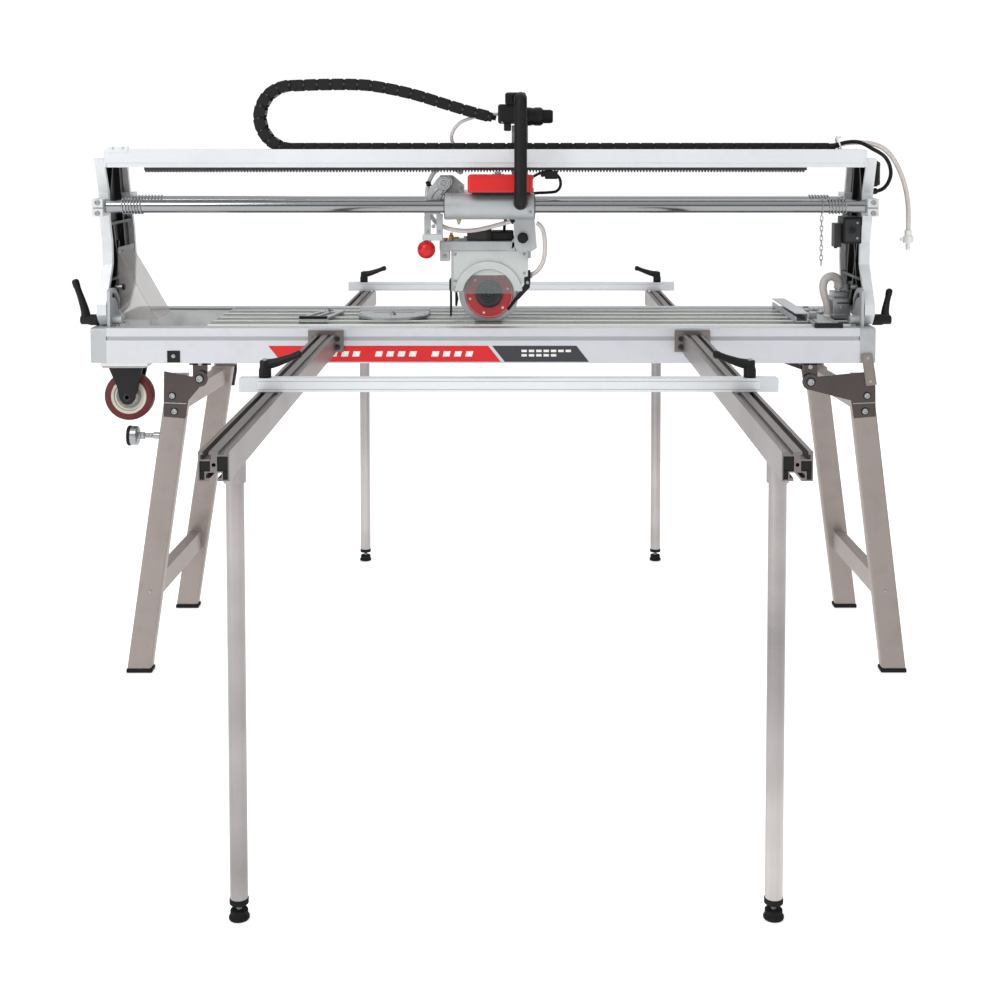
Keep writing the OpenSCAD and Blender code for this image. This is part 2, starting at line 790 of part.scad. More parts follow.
// red feed motor with its pinion shaft
module feed_motor() {
  placed() color("red") {
    along_y(-222, -182) translate([-31, 975]) rounded(132, 38, 8);
    along_y(-182, -152) translate([6, 975]) square([72, 14]);
    rod_y(-183, -160, pinion_x, pinion_z, 4 - fit);
  }
}

module feed_pinion() {
  placed() color("gray") translate([pinion_x, rack_y1 + 1, pinion_z]) rotate([90, 0, 0])
    linear_extrude(rack_y1 - rack_y0) difference() {
      union() {
        circle(pinion_r - 2.4);
        for (k = [0 : pinion_teeth - 1]) rotate(90 + k * 360 / pinion_teeth)
          polygon([
            [pinion_r - 3, -2.1], [pinion_r + 1.6, -0.6], [pinion_r + 1.6, 0.6], [pinion_r - 3, 2.1]]);
      }
      circle(4);
    }
}

// plates that carry the head's hinge and the plunge arm's pivot
module head_brackets() {
  placed() color("darkgray") {
    difference() {
      union() {
        for (y = [[-151, -142], [-18, -10]]) along_y(y[0], y[1]) polygon([
          [60, 957], [102, 957], [110, 860], [100, 853], [70, 853], [64, 862]]);
      }
      rod_y(-160, 0, hinge_x, hinge_z, 7 + fit);
    }
    difference() {
      along_y(-145, -137) polygon([[-90, 968], [-40, 968], [-40, 990], [-64, 1010], [-90, 1010]]);
      for (p = [[-56, 976], [-48, 984]]) rod_y(-146, -136, p[0], p[1], 3);
    }
    rod_y(-152, -145, plunge_x, plunge_z, 7);
    rod_y(-163, -152, plunge_x, plunge_z, 5);
  }
}

// socket, boxes and push switches above the beam
module switch_head() {
  placed() color("black") {
    difference() {
      block([46, -176, 1154], [87, -112, 1180]);
      block([49, -177, 1159], [61, -171, 1175]);
    }
    block([30, -172, 1113], [87, -100, 1154]);
    block([42, -168, 1101], [57, -124, 1113]);
    rod_x(87, 122, -140, 1131, 19);
    rod_x(122, 143, -140, 1131, 14);
  }
}

module rocker() {
  placed() color("red") block([49.3, -179, 1159.3], [60.7, -174.3, 1174.7]);
}

// D-shaped grip in front of the beam
module handle() {
  x = 76;
  y = -262;
  placed() color("black") {
    rod_z(972, 1150, x, y, 13);
    translate([x, y + 16, 972]) rotate([0, 90, 0]) rotate([0, 0, -90]) bend();
    translate([x, y + 16, 1150]) rotate([0, 90, 0]) rotate([0, 0, 180]) bend();
    difference() {
      rod_y(y + 16, front_bar_y, x, 956, 13);
      rod_x(0, 120, front_bar_y, bar_z, sleeve_d / 2 + 0.1);
    }
    rod_y(y + 16, -176, x, 1166, 13);
  }
}

// a quarter turn of the grip, in the plane of its local x and y
module bend() {
  rotate_extrude(angle = 90, $fn = 48) translate([16, 0]) circle(13, $fn = 48);
}

module water_hoses() {
  placed() color("lightgray") swept_tube(left_hose_route, 4.5, 10);
}

module head_hose() {
  placed() color("lightgray") swept_tube(right_hose_route, 4.5, 10);
}

// ---- plunge arm and cutting head ----

module plunge_arm() {
  placed() {
    color("silver") along_y(-162, -152.5) difference() {
      polygon([[-88, 1008], [-72, 1010], [-64, 1000], [-68, 986], [-84, 976], [-96, 958], [-90, 932],
               [-84, 930], [-84, 876], [-126, 876], [-122, 934], [-118, 962], [-104, 990]]);
      translate([plunge_x, plunge_z]) circle(5 + fit);
      polygon([[-109, 888], [-97, 888], [-97, 926], [-109, 926]]);
      translate([-108, 950]) circle(4);
      translate([-100, 968]) circle(4);
    }
    color("red") difference() {
      translate([-118, -157, 857]) sphere(19);
      block([-140, -180, 875.9], [-90, -130, 880]);
    }
  }
}

// base plate, hinge lug, motor and switch boxes of the tilting head
module head_body() {
  placed() color("gray") {
    difference() {
      union() {
        block([-92, -134, 853], [64, -26, 873]);
        along_y(-134, -26) polygon([
          [60, 853], [72, 868], [90, 872], [93, 881], [88, 892], [76, 893], [60, 873]]);
      }
      for (x = [-76, -60]) rod_z(868, 874, x, -122, 4);
    }
    rod_y(-158, -9, hinge_x, hinge_z, 7);
    rod_y(-161, -158, hinge_x, hinge_z, 9);
    block([-35, -124, 873], [9, -60, 893]);
    block([14, -124, 873], [62, -60, 892]);
    rod_y(-64, 118, blade_x, 806.5, 46);
    for (k = [0 : 8]) rod_y(-40 + k * 16, -34 + k * 16, blade_x, 806.5, 47);
  }
}

// guard seen from the front: box with a cut corner
module guard_shape() {
  polygon([[-68, 853], [92, 853], [92, 796], [62, 768], [-68, 768]]);
}

module guard() {
  placed() color("lightgray") {
    difference() {
      union() {
        along_y(-128, -64) guard_shape();
        // raised arch around the blade
        along_y(-134, -128) intersection() {
          difference() {
            translate([blade_x, blade_z]) circle(71, $fn = 64);
            translate([blade_x, blade_z]) circle(54, $fn = 64);
          }
          translate([-68, 768]) square([160, 84]);
        }
      }
      // blade chamber and window
      along_y(-124, -84) intersection() {
        translate([blade_x, blade_z]) circle(68, $fn = 64);
        translate([-64, 700]) square([150, 150]);
      }
      along_y(-135, -123) intersection() {
        translate([blade_x, blade_z]) circle(53, $fn = 64);
        translate([-60, 700]) square([150, 101]);
      }
      rod_y(-90, -60, blade_x, blade_z, 12 + fit);
    }
    // rubber strips on the left and across the lower right corner
    block([-71, -126, 714], [-68, -84, 790]);
    block([-60, -128, 736], [-56, -124, 768]);
    along_y(-128, -124) polygon([
      [92, 812], [97, 812], [97, 784], [52, 727], [47, 731], [90, 786], [92, 796]]);
  }
}

// tinted half window over the blade
module guard_window() {
  placed() color("lightblue", 0.5) along_y(-128, -126) intersection() {
    translate([blade_x, blade_z]) circle(52.9, $fn = 64);
    translate([-60, 763]) square([150, 37.9]);
  }
}

// steel disc with its label, flanges and spindle
module blade() {
  placed() color("firebrick") {
    rod_y(cut_y - 0.8, cut_y + 0.8, blade_x, blade_z, blade_d / 2, $fn = 96);
    rod_y(cut_y - 1.2, cut_y - 0.8, blade_x, blade_z, 49);
    rod_y(cut_y - 9, cut_y - 1.2, blade_x, blade_z, 28.5);
    translate([blade_x, cut_y - 9, blade_z]) rotate([90, 0, 0]) cylinder(h = 6, r = 13, $fn = 6);
    rod_y(cut_y + 0.8, cut_y + 8, blade_x, blade_z, 28.5);
    rod_y(cut_y + 8, -64.5, blade_x, blade_z, 12);
  }
}

// ---- gauges on the table ----

// bolt in a slot between two slats, with its nut below them
module gap_bolt(x, y) {
  rod_z(667.5, slat_top + 7, x, y, 3.5);
  rod_z(slat_top + 6, slat_top + 9.5, x, y, 7);
  block([x - 9, y - 14, 666.5], [x + 9, y + 14, 671.5]);
}

// half-round protractor plate that turns on its bolt
module mitre_gauge() {
  placed() color("gray") {
    along_z(slat_top + 0.3, slat_top + 6.3) difference() {
      union() {
        translate([-197, -22]) intersection() {
          circle(75, $fn = 96);
          translate([-80, -80]) square([160, 80.1]);
        }
        translate([-272, -22]) square([150, 58]);
      }
      translate([-197, 4]) square([90, 6], center = true);
    }
    gap_bolt(-197, -40);
  }
}

// skewed stop plate that slides along its slot
module stop_slider() {
  placed() color("gray") {
    along_z(slat_top + 0.3, slat_top + 6.3) difference() {
      polygon([[-392, -94], [-330, -94], [-310, 44], [-362, 44]]);
      polygon([[-374, -60], [-367, -62], [-352, -8], [-359, -6]]);
      polygon([[-354, -60], [-347, -62], [-332, -8], [-339, -6]]);
    }
    block([-390, -94, slat_top + 6], [-332, -84, slat_top + 9]);
    gap_bolt(-344, 25);
  }
}

module along_z(z0, z1) {
  translate([0, 0, z0]) linear_extrude(z1 - z0) children();
}

// square fence tube on a flat base that clamps to the front rail
module fence() {
  placed() color("gray") {
    difference() {
      block([650, -128, slat_top + 0.2], [678, 160, slat_top + 20]);
      block([653, -129, slat_top + 3.2], [675, 161, slat_top + 17]);
    }
    block([678, -196, slat_top + 0.2], [731, 96, slat_top + 6]);
    block([676, -209, slat_top - 1.8], [733, -196, slat_top + 8]);
    for (y = [-96, -40]) {
      block([682, y - 9, slat_top + 6], [700, y + 9, slat_top + 20]);
      rod_z(slat_top + 20, slat_top + 24, 691, y, 5);
    }
    along_z(slat_top + 6, slat_top + 10) difference() {
      translate([700, 20]) circle(52, $fn = 64);
      translate([640, -60]) square([42, 160]);
      translate([731, -60]) square([60, 160]);
      translate([700, 20]) circle(30);
    }
  }
}

rails();
end_caps();
tray();
slats();
fixed_lugs();
pivot_plates();
caster_forks();
pump();
arm_brackets();
arms();
extension_legs();
foot_front_left();
foot_front_right();
foot_rear_left();
foot_rear_right();
wheel_front();
trestle_left();
trestle_right();
bumper_foot();
uprights();
upright_webs();
beam();
rack();
guide_bars();
bar_springs();
splash_shield();
control_boxes();
power_cable();
chain_lower();
feed_hose();
hose_connector();
valve_lever();
tilt_lever_left();
tilt_lever_right();
chain_loop();
carriage();
feed_motor();
head_brackets();
switch_head();
handle();
chain_upper();
water_hoses();
head_hose();
feed_pinion();
plunge_arm();
head_body();
guard();
guard_window();
blade();
rocker();
front_bar();
rear_bar();
lever_front_left();
lever_front_right();
lever_rear_left();
lever_rear_right();
mitre_gauge();
stop_slider();
fence();
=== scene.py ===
"""Looks for the rail tile saw.

Places are in millimetres from the middle of the table, Z up from the floor.
"""
import math

import bmesh
import bpy
from mathutils import Matrix, Vector


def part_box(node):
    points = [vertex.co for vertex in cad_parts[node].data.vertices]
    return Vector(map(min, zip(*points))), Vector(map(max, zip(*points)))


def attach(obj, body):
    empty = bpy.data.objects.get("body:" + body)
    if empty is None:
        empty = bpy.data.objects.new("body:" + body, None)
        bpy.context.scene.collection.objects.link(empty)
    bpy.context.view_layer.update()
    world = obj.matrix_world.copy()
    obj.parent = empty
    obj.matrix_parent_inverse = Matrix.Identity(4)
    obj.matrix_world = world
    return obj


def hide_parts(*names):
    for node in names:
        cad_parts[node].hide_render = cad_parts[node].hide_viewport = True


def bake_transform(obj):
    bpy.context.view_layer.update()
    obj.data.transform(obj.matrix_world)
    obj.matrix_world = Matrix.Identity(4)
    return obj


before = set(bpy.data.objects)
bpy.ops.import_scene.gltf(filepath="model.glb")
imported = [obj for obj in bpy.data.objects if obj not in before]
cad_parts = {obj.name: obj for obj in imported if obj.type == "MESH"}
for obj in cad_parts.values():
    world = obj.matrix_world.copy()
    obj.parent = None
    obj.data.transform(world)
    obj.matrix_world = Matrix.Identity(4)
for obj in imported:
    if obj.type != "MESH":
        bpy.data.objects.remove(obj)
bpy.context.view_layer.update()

MM = 0.001
rails_low, rails_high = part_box("rails")
TABLE = Vector(((rails_low[0] + rails_high[0]) / 2, (rails_low[1] + rails_high[1]) / 2, 0))

# ways a screw can face
FRONT = (0, -1, 0)
UP = (0, 0, 1)
RIGHT = (1, 0, 0)

# driving places, as in the part's source
FRONT_Y = -205
REAR_Y = 205
SLAT_PITCH = 65
BRIDGE_X = 5
UPRIGHT_OUT = 797
IN_FACE = 777
BAR_Z = 947.5
FRONT_BAR_Y = -180
REAR_BAR_Y = 20
TILT_Y = -160
TILT_Z = 712
CHAIN_Y = -157
CHAIN_LOW = 1065.5
LOOP_R = 64
LOOP_X = -394
BLADE = (10, -105, 760)
HINGE = (81, 881)
ARM_X = 53
ARM_HALF = 373
SLAT_TOP = 702
CASTER = (-735, -150, 553)
BUMPER = (-728, -197, 478)
LEFT_PIVOT = (-578, 597)
RIGHT_PIVOT = (668, 590)
LEG_TOP_Z = 566
SOLE_TOP_Z = 12
FOOT_FRONT_Y = -232
FOOT_REAR_Y = 196
TOP_FRONT_Y = -190
TOP_REAR_Y = 166
ROUND_LEGS_Y = {"front": -1223, "rear": 583}
CROSS_BARS_Y = {"front_cross_bar": -914, "rear_cross_bar": 666}
CHAIN_PITCH = 27.6
BEND_PITCH = 25.2
CHAIN_WIDTH = 38
CHAIN_DEPTH = 22.8
SHARP_DEG = 38
EDGE_ROUND = 0.8

HOSE_ROUTE = [
    (712, -146, 1067), (726, -146, 1071), (744, -146, 1076), (764, -145, 1078), (784, -141, 1077),
    (802, -134, 1075), (818, -124, 1071), (834, -113, 1064), (850, -103, 1051), (865, -94, 1032),
    (878, -87, 1008), (888, -82, 980), (894, -79, 950), (896, -78, 920), (896, -78, 892)]
CABLE_ROUTE = [
    (712, -158, 1066), (728, -158, 1073), (746, -158, 1078), (766, -157, 1079), (784, -152, 1074),
    (804, -142, 1064), (822, -127, 1056), (838, -110, 1046), (850, -97, 1030), (855, -88, 1011),
    (851, -83, 993), (841, -80, 980), (827, -80, 974.4)]
LEFT_HOSE_ROUTE = [
    (-46, -132, 1014), (-62, -133, 1023), (-80, -135, 1026), (-96, -137, 1021), (-107, -139, 1009),
    (-114, -140, 992), (-117, -141, 972), (-117, -141, 951), (-111, -141, 930), (-99, -142, 913),
    (-82, -143, 903), (-62, -145, 897), (-38, -146, 895), (-14, -146, 897), (10, -146, 902),
    (32, -146, 908), (50, -146, 913), (60, -146, 916)]
RIGHT_HOSE_ROUTE = [
    (109.5, -147, 911.5), (115, -147, 908), (122, -146, 898), (126, -144, 881), (127, -140, 862),
    (126, -136, 843), (121, -132, 825), (112, -125, 811), (102, -117, 803), (94.8, -113, 799.5)]


def place(x, y, z):
    """Table millimetres to metres in the row frame."""
    return Vector((x, y, z)) * MM + TABLE


# ---- camera ----

CAMERA_SPOT = (65.2, -3297.3, 1090)
CAMERA_DOWN = 0.056
CAMERA_TURN = -0.0012


def make_camera():
    data = bpy.data.cameras.new("camera")
    data.sensor_width = 36
    data.lens = 54.95
    data.shift_x = -0.017
    data.shift_y = -0.278
    data.clip_end = 100
    camera = bpy.data.objects.new("camera", data)
    bpy.context.collection.objects.link(camera)
    camera.location = place(*CAMERA_SPOT)
    camera.rotation_euler = (math.radians(90) - CAMERA_DOWN, 0, CAMERA_TURN)
    bpy.context.scene.camera = camera


make_camera()


# ---- materials ----

def rgb(code):
    """Linear colour of a hex code."""
    parts = [int(code[i:i + 2], 16) / 255 for i in (0, 2, 4)]
    return tuple(c / 12.92 if c <= 0.04045 else ((c + 0.055) / 1.055) ** 2.4 for c in parts)


def noise(nodes, links, vector, scale, detail=4, stretch=(1, 1, 1)):
    mapping = nodes.new("ShaderNodeMapping")
    mapping.inputs["Scale"].default_value = stretch
    links.new(vector, mapping.inputs["Vector"])
    texture = nodes.new("ShaderNodeTexNoise")
    texture.inputs["Scale"].default_value = scale
    texture.inputs["Detail"].default_value = detail
    links.new(mapping.outputs["Vector"], texture.inputs["Vector"])
    return texture.outputs["Fac"]


def remap(nodes, links, value, low, high, start=0.3, end=0.7):
    node = nodes.new("ShaderNodeMapRange")
    node.inputs["From Min"].default_value = start
    node.inputs["From Max"].default_value = end
    node.inputs["To Min"].default_value = low
    node.inputs["To Max"].default_value = high
    links.new(value, node.inputs["Value"])
    return node.outputs["Result"]


def blended(nodes, links, amount, first, second):
    node = nodes.new("ShaderNodeMix")
    node.data_type = "RGBA"
    links.new(amount, node.inputs["Factor"])
    for value, socket in ((first, node.inputs["A"]), (second, node.inputs["B"])):
        if isinstance(value, tuple):
            socket.default_value = (*value, 1)
        else:
            links.new(value, socket)
    return node.outputs["Result"]


def surface(name, colour, rough=0.4, metal=0.0, shade=0.12, grain=300, depth=0.05, patch=6,
            stretch=(1, 1, 1), dirt=0.0, wear=0.0, coat=0.0, alpha=1.0):
    """One procedural material: mottled colour, grained bump, uneven gloss, grime and worn edges."""
    material = bpy.data.materials.new(name)
    material.use_nodes = True
    nodes = material.node_tree.nodes
    links = material.node_tree.links
    shader = nodes["Principled BSDF"]
    base = rgb(colour)
    where = nodes.new("ShaderNodeTexCoord").outputs["Object"]
    broad = noise(nodes, links, where, patch, 5)
    fine = noise(nodes, links, where, grain, 3, stretch)
    tone = blended(nodes, links, remap(nodes, links, broad, 0, 1), tuple(c * (1 - shade) for c in base),
                   tuple(min(1, c * (1 + shade)) for c in base))
    tone = blended(nodes, links, remap(nodes, links, fine, 0, shade * 0.8), tone,
                   tuple(c * 0.55 for c in base))
    if dirt:
        spots = noise(nodes, links, where, 28, 8)
        amount = remap(nodes, links, spots, 0, dirt, 0.5, 0.75)
        tone = blended(nodes, links, amount, tone, tuple(c * 0.45 + 0.02 for c in base))
    rounded = nodes.new("ShaderNodeBevel")
    rounded.samples = 4
    rounded.inputs["Radius"].default_value = EDGE_ROUND * MM
    if wear:
        flat = nodes.new("ShaderNodeNewGeometry").outputs["Normal"]
        match = nodes.new("ShaderNodeVectorMath")
        match.operation = "DOT_PRODUCT"
        links.new(rounded.outputs["Normal"], match.inputs[0])
        links.new(flat, match.inputs[1])
        corner = remap(nodes, links, match.outputs["Value"], wear, 0, 0.72, 0.98)
        tone = blended(nodes, links, corner, tone, tuple(min(1, c * 1.5 + 0.12) for c in base))
    links.new(tone, shader.inputs["Base Color"])
    links.new(remap(nodes, links, broad, rough * 0.85, min(1, rough * 1.2)), shader.inputs["Roughness"])
    shader.inputs["Metallic"].default_value = metal
    shader.inputs["Coat Weight"].default_value = coat
    shader.inputs["Specular IOR Level"].default_value = 0.5 if max(base) > 0.02 else 0.3
    shader.inputs["Alpha"].default_value = alpha
    bump = nodes.new("ShaderNodeBump")
    bump.inputs["Strength"].default_value = 0.5
    bump.inputs["Distance"].default_value = depth * MM
    links.new(fine, bump.inputs["Height"])
    links.new(rounded.outputs["Normal"], bump.inputs["Normal"])
    links.new(bump.outputs["Normal"], shader.inputs["Normal"])
    return material


ANODISED = surface("anodised", "cbcdd2", 0.4, 0.5, 0.05, 240, 0.02, 3, (0.03, 1, 1), 0.1, 0.3)
ANODISED_Y = surface("anodised_arm", "7c7573", 0.34, 0.6, 0.06, 240, 0.02, 3, (1, 0.03, 1), 0.15, 0.3)
BEAM = surface("beam_alloy", "dfe2e6", 0.36, 0.4, 0.04, 220, 0.015, 3, (0.03, 1, 1), 0.06, 0.3)
CAST = surface("cast_alloy", "b5b8ba", 0.5, 0.5, 0.08, 420, 0.12, 8, dirt=0.2, wear=0.4)
BRIGHT_CAST = surface("bright_cast", "d2d5d7", 0.42, 0.5, 0.07, 420, 0.08, 8, dirt=0.12, wear=0.4)
ZINC = surface("sheet_zinc", "f4f6f5", 0.4, 0.1, 0.1, 60, 0.02, 12, dirt=0.3)
SLAT = surface("slat_alloy", "56625a", 0.22, 0.3, 0.015, 90, 0.001, 3, (0.02, 1, 1), 0.03)
# near-white material laid on the slats' front edges and ends: painted highlight
SLAT_HIGHLIGHT = surface("slat_painted_highlight", "fafcf8", 0.35, 0.1, 0.02, 90, 0.002, 3, (0.02, 1, 1), 0.03)
BLACK = surface("black_coat", "101011", 0.42, 0.0, 0.15, 500, 0.06, 10, wear=0.12)
BLACK_PLASTIC = surface("black_plastic", "0b0b0c", 0.5, 0.0, 0.12, 700, 0.05, 10)
RUBBER = surface("rubber", "0c0c0d", 0.75, 0.0, 0.2, 500, 0.1, 14, dirt=0.25)
CHROME = surface("ground_steel", "96989a", 0.14, 1.0, 0.02, 200, 0.0004, 4, (0.01, 1, 1))
STEEL = surface("plain_steel", "a3a5a7", 0.3, 0.9, 0.08, 350, 0.02, 10, dirt=0.15)
DARK_STEEL = surface("dark_steel", "3b3a3c", 0.36, 0.7, 0.1, 350, 0.03, 10, wear=0.3)
TUBE = surface("trestle_tube", "9a908b", 0.4, 0.5, 0.07, 260, 0.02, 5, (1, 1, 0.04), 0.2, 0.35)
LEG = surface("leg_tube", "aaa5a4", 0.3, 0.9, 0.45, 90, 0.004, 3, (1, 1, 0.002))
RED = surface("red_housing", "d20b08", 0.36, 0.0, 0.06, 600, 0.04, 8)
GREY_CASE = surface("grey_case", "c5cac8", 0.45, 0.05, 0.05, 600, 0.05, 8, dirt=0.12, wear=0.2)
GREY_PAINT = surface("grey_paint", "8b8f91", 0.45, 0.15, 0.08, 450, 0.05, 8, dirt=0.15, wear=0.3)
DARK_GREY = surface("dark_grey", "27282a", 0.5, 0.1, 0.1, 450, 0.05, 8, wear=0.2)
WHITE = surface("white_plastic", "e6e6e3", 0.4, 0.0, 0.04, 600, 0.03, 8)
TYRE = surface("maroon_tyre", "5c060d", 0.55, 0.0, 0.12, 400, 0.08, 10, dirt=0.25)
HUB = surface("cream_hub", "cfcabd", 0.5, 0.0, 0.06, 500, 0.05, 8, dirt=0.2)
LABEL = surface("blade_label", "c0272d", 0.35, 0.1, 0.06, 500, 0.01, 12, coat=0.2)
DECAL_RED = surface("decal_red", "cf0a12", 0.5, 0.0, 0.03, 500, 0.005, 8)
DECAL_DARK = surface("decal_dark", "2e2f34", 0.4, 0.0, 0.05, 500, 0.005, 8)
FROST = surface("frosted_sheet", "c6c1be", 0.4, 0.0, 0.04, 400, 0.05, 8, alpha=0.42)
CLEAR = surface("clear_tube", "d8d0cd", 0.22, 0.0, 0.04, 400, 0.01, 8, alpha=0.78, coat=0.3)
WINDOW = surface("clear_window", "8e9596", 0.2, 0.0, 0.04, 400, 0.01, 8, alpha=0.3)
PLATE = surface("bracket_steel", "4f4846", 0.26, 0.9, 0.12, 350, 0.03, 10, dirt=0.2, wear=0.3)
LATCH = surface("latch_steel", "8a817b", 0.35, 0.8, 0.1, 350, 0.03, 10, dirt=0.2)
# grey for thin strips in slots and along bar faces: painted shade
SHADE_LINE_PAINT = surface("slot_shadow", "a4a8ab", 0.5, 0.3, 0.05, 240, 0.02, 3, (0.03, 1, 1))
BAR_END = surface("bar_end_plug", "d2d6da", 0.4, 0.1, 0.05, 500, 0.03, 8)
BRASS = surface("brass", "b08d4c", 0.35, 0.85, 0.08, 400, 0.02, 10, dirt=0.15)


def paint(material, *nodes):
    for name in nodes:
        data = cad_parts[name].data
        data.materials.clear()
        data.materials.append(material)


# ---- mesh building ----

def smooth_route(points, steps=6):
    """Points on a smooth line through the given ones."""
    points = [Vector(p) for p in points]
    ends = [2 * points[0] - points[1]] + points + [2 * points[-1] - points[-2]]
    line = []
    for i in range(1, len(ends) - 2):
        a, b, c, d = ends[i - 1:i + 3]
        for k in range(steps):
            t = k / steps
            line.append(0.5 * (2 * b + (c - a) * t + (2 * a - 5 * b + 4 * c - d) * t * t
                               + (3 * b - a - 3 * c + d) * t ** 3))
    line.append(points[-1])
    return line


def arc(cx, cz, r, start, end, steps=12):
    """Points on an arc, angles in degrees."""
    angles = [math.radians(start + (end - start) * k / steps) for k in range(steps + 1)]
    return [(cx + r * math.cos(a), cz + r * math.sin(a)) for a in angles]


def smooth_outline(points):
    """A smooth line through (x, z) points."""
    return [(p.x, p.z) for p in smooth_route([(x, 0, z) for x, z in points], 5)]


def directions(start, end):
    """The start, the way to the end and two directions across it."""
    start = Vector(start)
    way = Vector(end) - start
    side = way.orthogonal().normalized()
    return start, way, side, way.normalized().cross(side)


def spokes(count, r):
    """Places spread evenly round a circle."""
    angles = (2 * math.pi * k / count for k in range(count))
    return [(r * math.cos(a), r * math.sin(a)) for a in angles]


def circle(solid, middle, r, side, across, steps):
    angles = (2 * math.pi * k / steps for k in range(steps))
    return [solid.verts.new(middle + r * (math.cos(a) * side + math.sin(a) * across)) for a in angles]


def skin(solid, rows):
    """Four-sided faces between each row of points and the next."""
    for low, high in zip(rows, rows[1:]):
        for k in range(len(low)):
            n = (k + 1) % len(low)
            solid.faces.new((low[k], low[n], high[n], high[k]))


class Part:
    """Simple solids in table millimetres, joined into one mesh piece."""

    def __init__(self, name):
        self.name = name
        self.mesh = bmesh.new()
        self.materials = []
        self.turn = Matrix.Identity(4)

    def take(self, solid, material, bevel=0.0, segments=2):
        bmesh.ops.recalc_face_normals(solid, faces=solid.faces)
        if bevel:
            edges = [e for e in solid.edges if len(e.link_faces) == 2 and e.calc_face_angle(0) > 0.5]
            bmesh.ops.bevel(solid, geom=edges, offset=bevel, segments=segments, profile=0.5,
                            affect="EDGES", clamp_overlap=True)
        if material not in self.materials:
            self.materials.append(material)
        for face in solid.faces:
            face.material_index = self.materials.index(material)
        solid.transform(self.turn)
        bmesh.ops.recalc_face_normals(solid, faces=solid.faces)
        mesh = bpy.data.meshes.new("solid")
        solid.to_mesh(mesh)
        solid.free()
        self.mesh.from_mesh(mesh)
        bpy.data.meshes.remove(mesh)
        return self

    def box(self, low, high, material, bevel=1.0, segments=2):
        solid = bmesh.new()
        bmesh.ops.create_cube(solid, size=1)
        sides = [sorted(pair) for pair in zip(low, high)]
        for v in solid.verts:
            v.co = Vector([sides[i][0 if v.co[i] < 0 else 1] for i in range(3)])
        return self.take(solid, material, bevel, segments)

    def prism(self, outline, axis, low, high, material, bevel=1.0, segments=2):
        """An outline in the plane across X, Y or Z, from low to high along that axis."""
        solid = bmesh.new()
        spot = {"X": lambda p, t: (t, p[0], p[1]), "Y": lambda p, t: (p[0], t, p[1]),
                "Z": lambda p, t: (p[0], p[1], t)}[axis]
        rows = [[solid.verts.new(spot(p, t)) for p in outline] for t in sorted((low, high))]
        return self.between(solid, rows, material, bevel, segments)

    def between(self, solid, rows, material, bevel, segments):
        """A solid between two outlines with the same number of corners."""
        solid.faces.new(rows[0])
        solid.faces.new(rows[1])
        skin(solid, rows)
        return self.take(solid, material, bevel, segments)

    def turned(self, profile, start, end, material, steps=40):
        """A lathe profile of (radius, share of the way) about the line from start to end."""
        solid = bmesh.new()
        start, way, side, across = directions(start, end)
        rows = []
        for r, share in profile:
            middle = start + way * share
            if r > 0:
                rows.append(circle(solid, middle, r, side, across, steps))
            else:
                rows.append([solid.verts.new(middle)])
        for low, high in zip(rows, rows[1:]):
            for k in range(steps):
                n = (k + 1) % steps
                if len(low) == 1:
                    solid.faces.new((low[0], high[k], high[n]))
                elif len(high) == 1:
                    solid.faces.new((low[k], low[n], high[0]))
                else:
                    solid.faces.new((low[k], low[n], high[n], high[k]))
        for row in (rows[0], rows[-1]):
            if len(row) > 1:
                solid.faces.new(row)
        return self.take(solid, material)

    def rod(self, start, end, r, material, chamfer=0.6, steps=40):
        length = (Vector(end) - Vector(start)).length
        c = chamfer / length
        profile = [(0, 0), (r - chamfer, 0), (r, c), (r, 1 - c), (r - chamfer, 1), (0, 1)]
        return self.turned(profile, start, end, material, steps)

    def ring(self, start, end, r, hole, material, chamfer=0.6, steps=48):
        length = (Vector(end) - Vector(start)).length
        c = chamfer / length
        profile = [(hole, 0), (r - chamfer, 0), (r, c), (r, 1 - c), (r - chamfer, 1), (hole, 1), (hole, 0)]
        return self.tube_profile(profile, start, end, material, steps)

    def tube_profile(self, profile, start, end, material, steps):
        """A closed lathe profile, such as a ring's."""
        solid = bmesh.new()
        start, way, side, across = directions(start, end)
        rows = [circle(solid, start + way * share, r, side, across, steps) for r, share in profile[:-1]]
        skin(solid, rows + rows[:1])
        return self.take(solid, material)

    def ball(self, centre, r, material, steps=32):
        profile = [(r * math.sin(math.pi * k / 16),
                    (1 - math.cos(math.pi * k / 16)) / 2) for k in range(17)]
        profile[0] = (0, 0)
        profile[-1] = (0, 1)
        x, y, z = centre
        return self.turned(profile, (x, y, z - r), (x, y, z + r), material, steps)

    def sweep(self, points, r, material, sides=14, flat=1.0):
        """A tube along points. r is one radius or one for each point; flat squeezes it across."""
        solid = bmesh.new()
        points = [Vector(p) for p in points]
        radii = r if isinstance(r, list) else [r] * len(points)
        way = (points[1] - points[0]).normalized()
        side = way.orthogonal().normalized()
        rows = []
        for i, point in enumerate(points):
            ahead = points[min(i + 1, len(points) - 1)] - points[max(i - 1, 0)]
            turned_way = ahead.normalized()
            side = (side - turned_way * side.dot(turned_way)).normalized()
            across = turned_way.cross(side) * flat
            rows.append(circle(solid, point, radii[i], side, across, sides))
        skin(solid, rows)
        solid.faces.new(rows[0])
        solid.faces.new(rows[-1])
        return self.take(solid, material)

    def bar(self, low_centre, high_centre, width, thick, material, bevel):
        """A leaning rectangular tube between two level ends."""
        solid = bmesh.new()
        rows = []
        for x, y, z in (low_centre, high_centre):
            rows.append([solid.verts.new((x + a * width / 2, y + b * thick / 2, z))
                         for a, b in ((-1, -1), (1, -1), (1, 1), (-1, 1))])
        return self.between(solid, rows, material, bevel, 3)

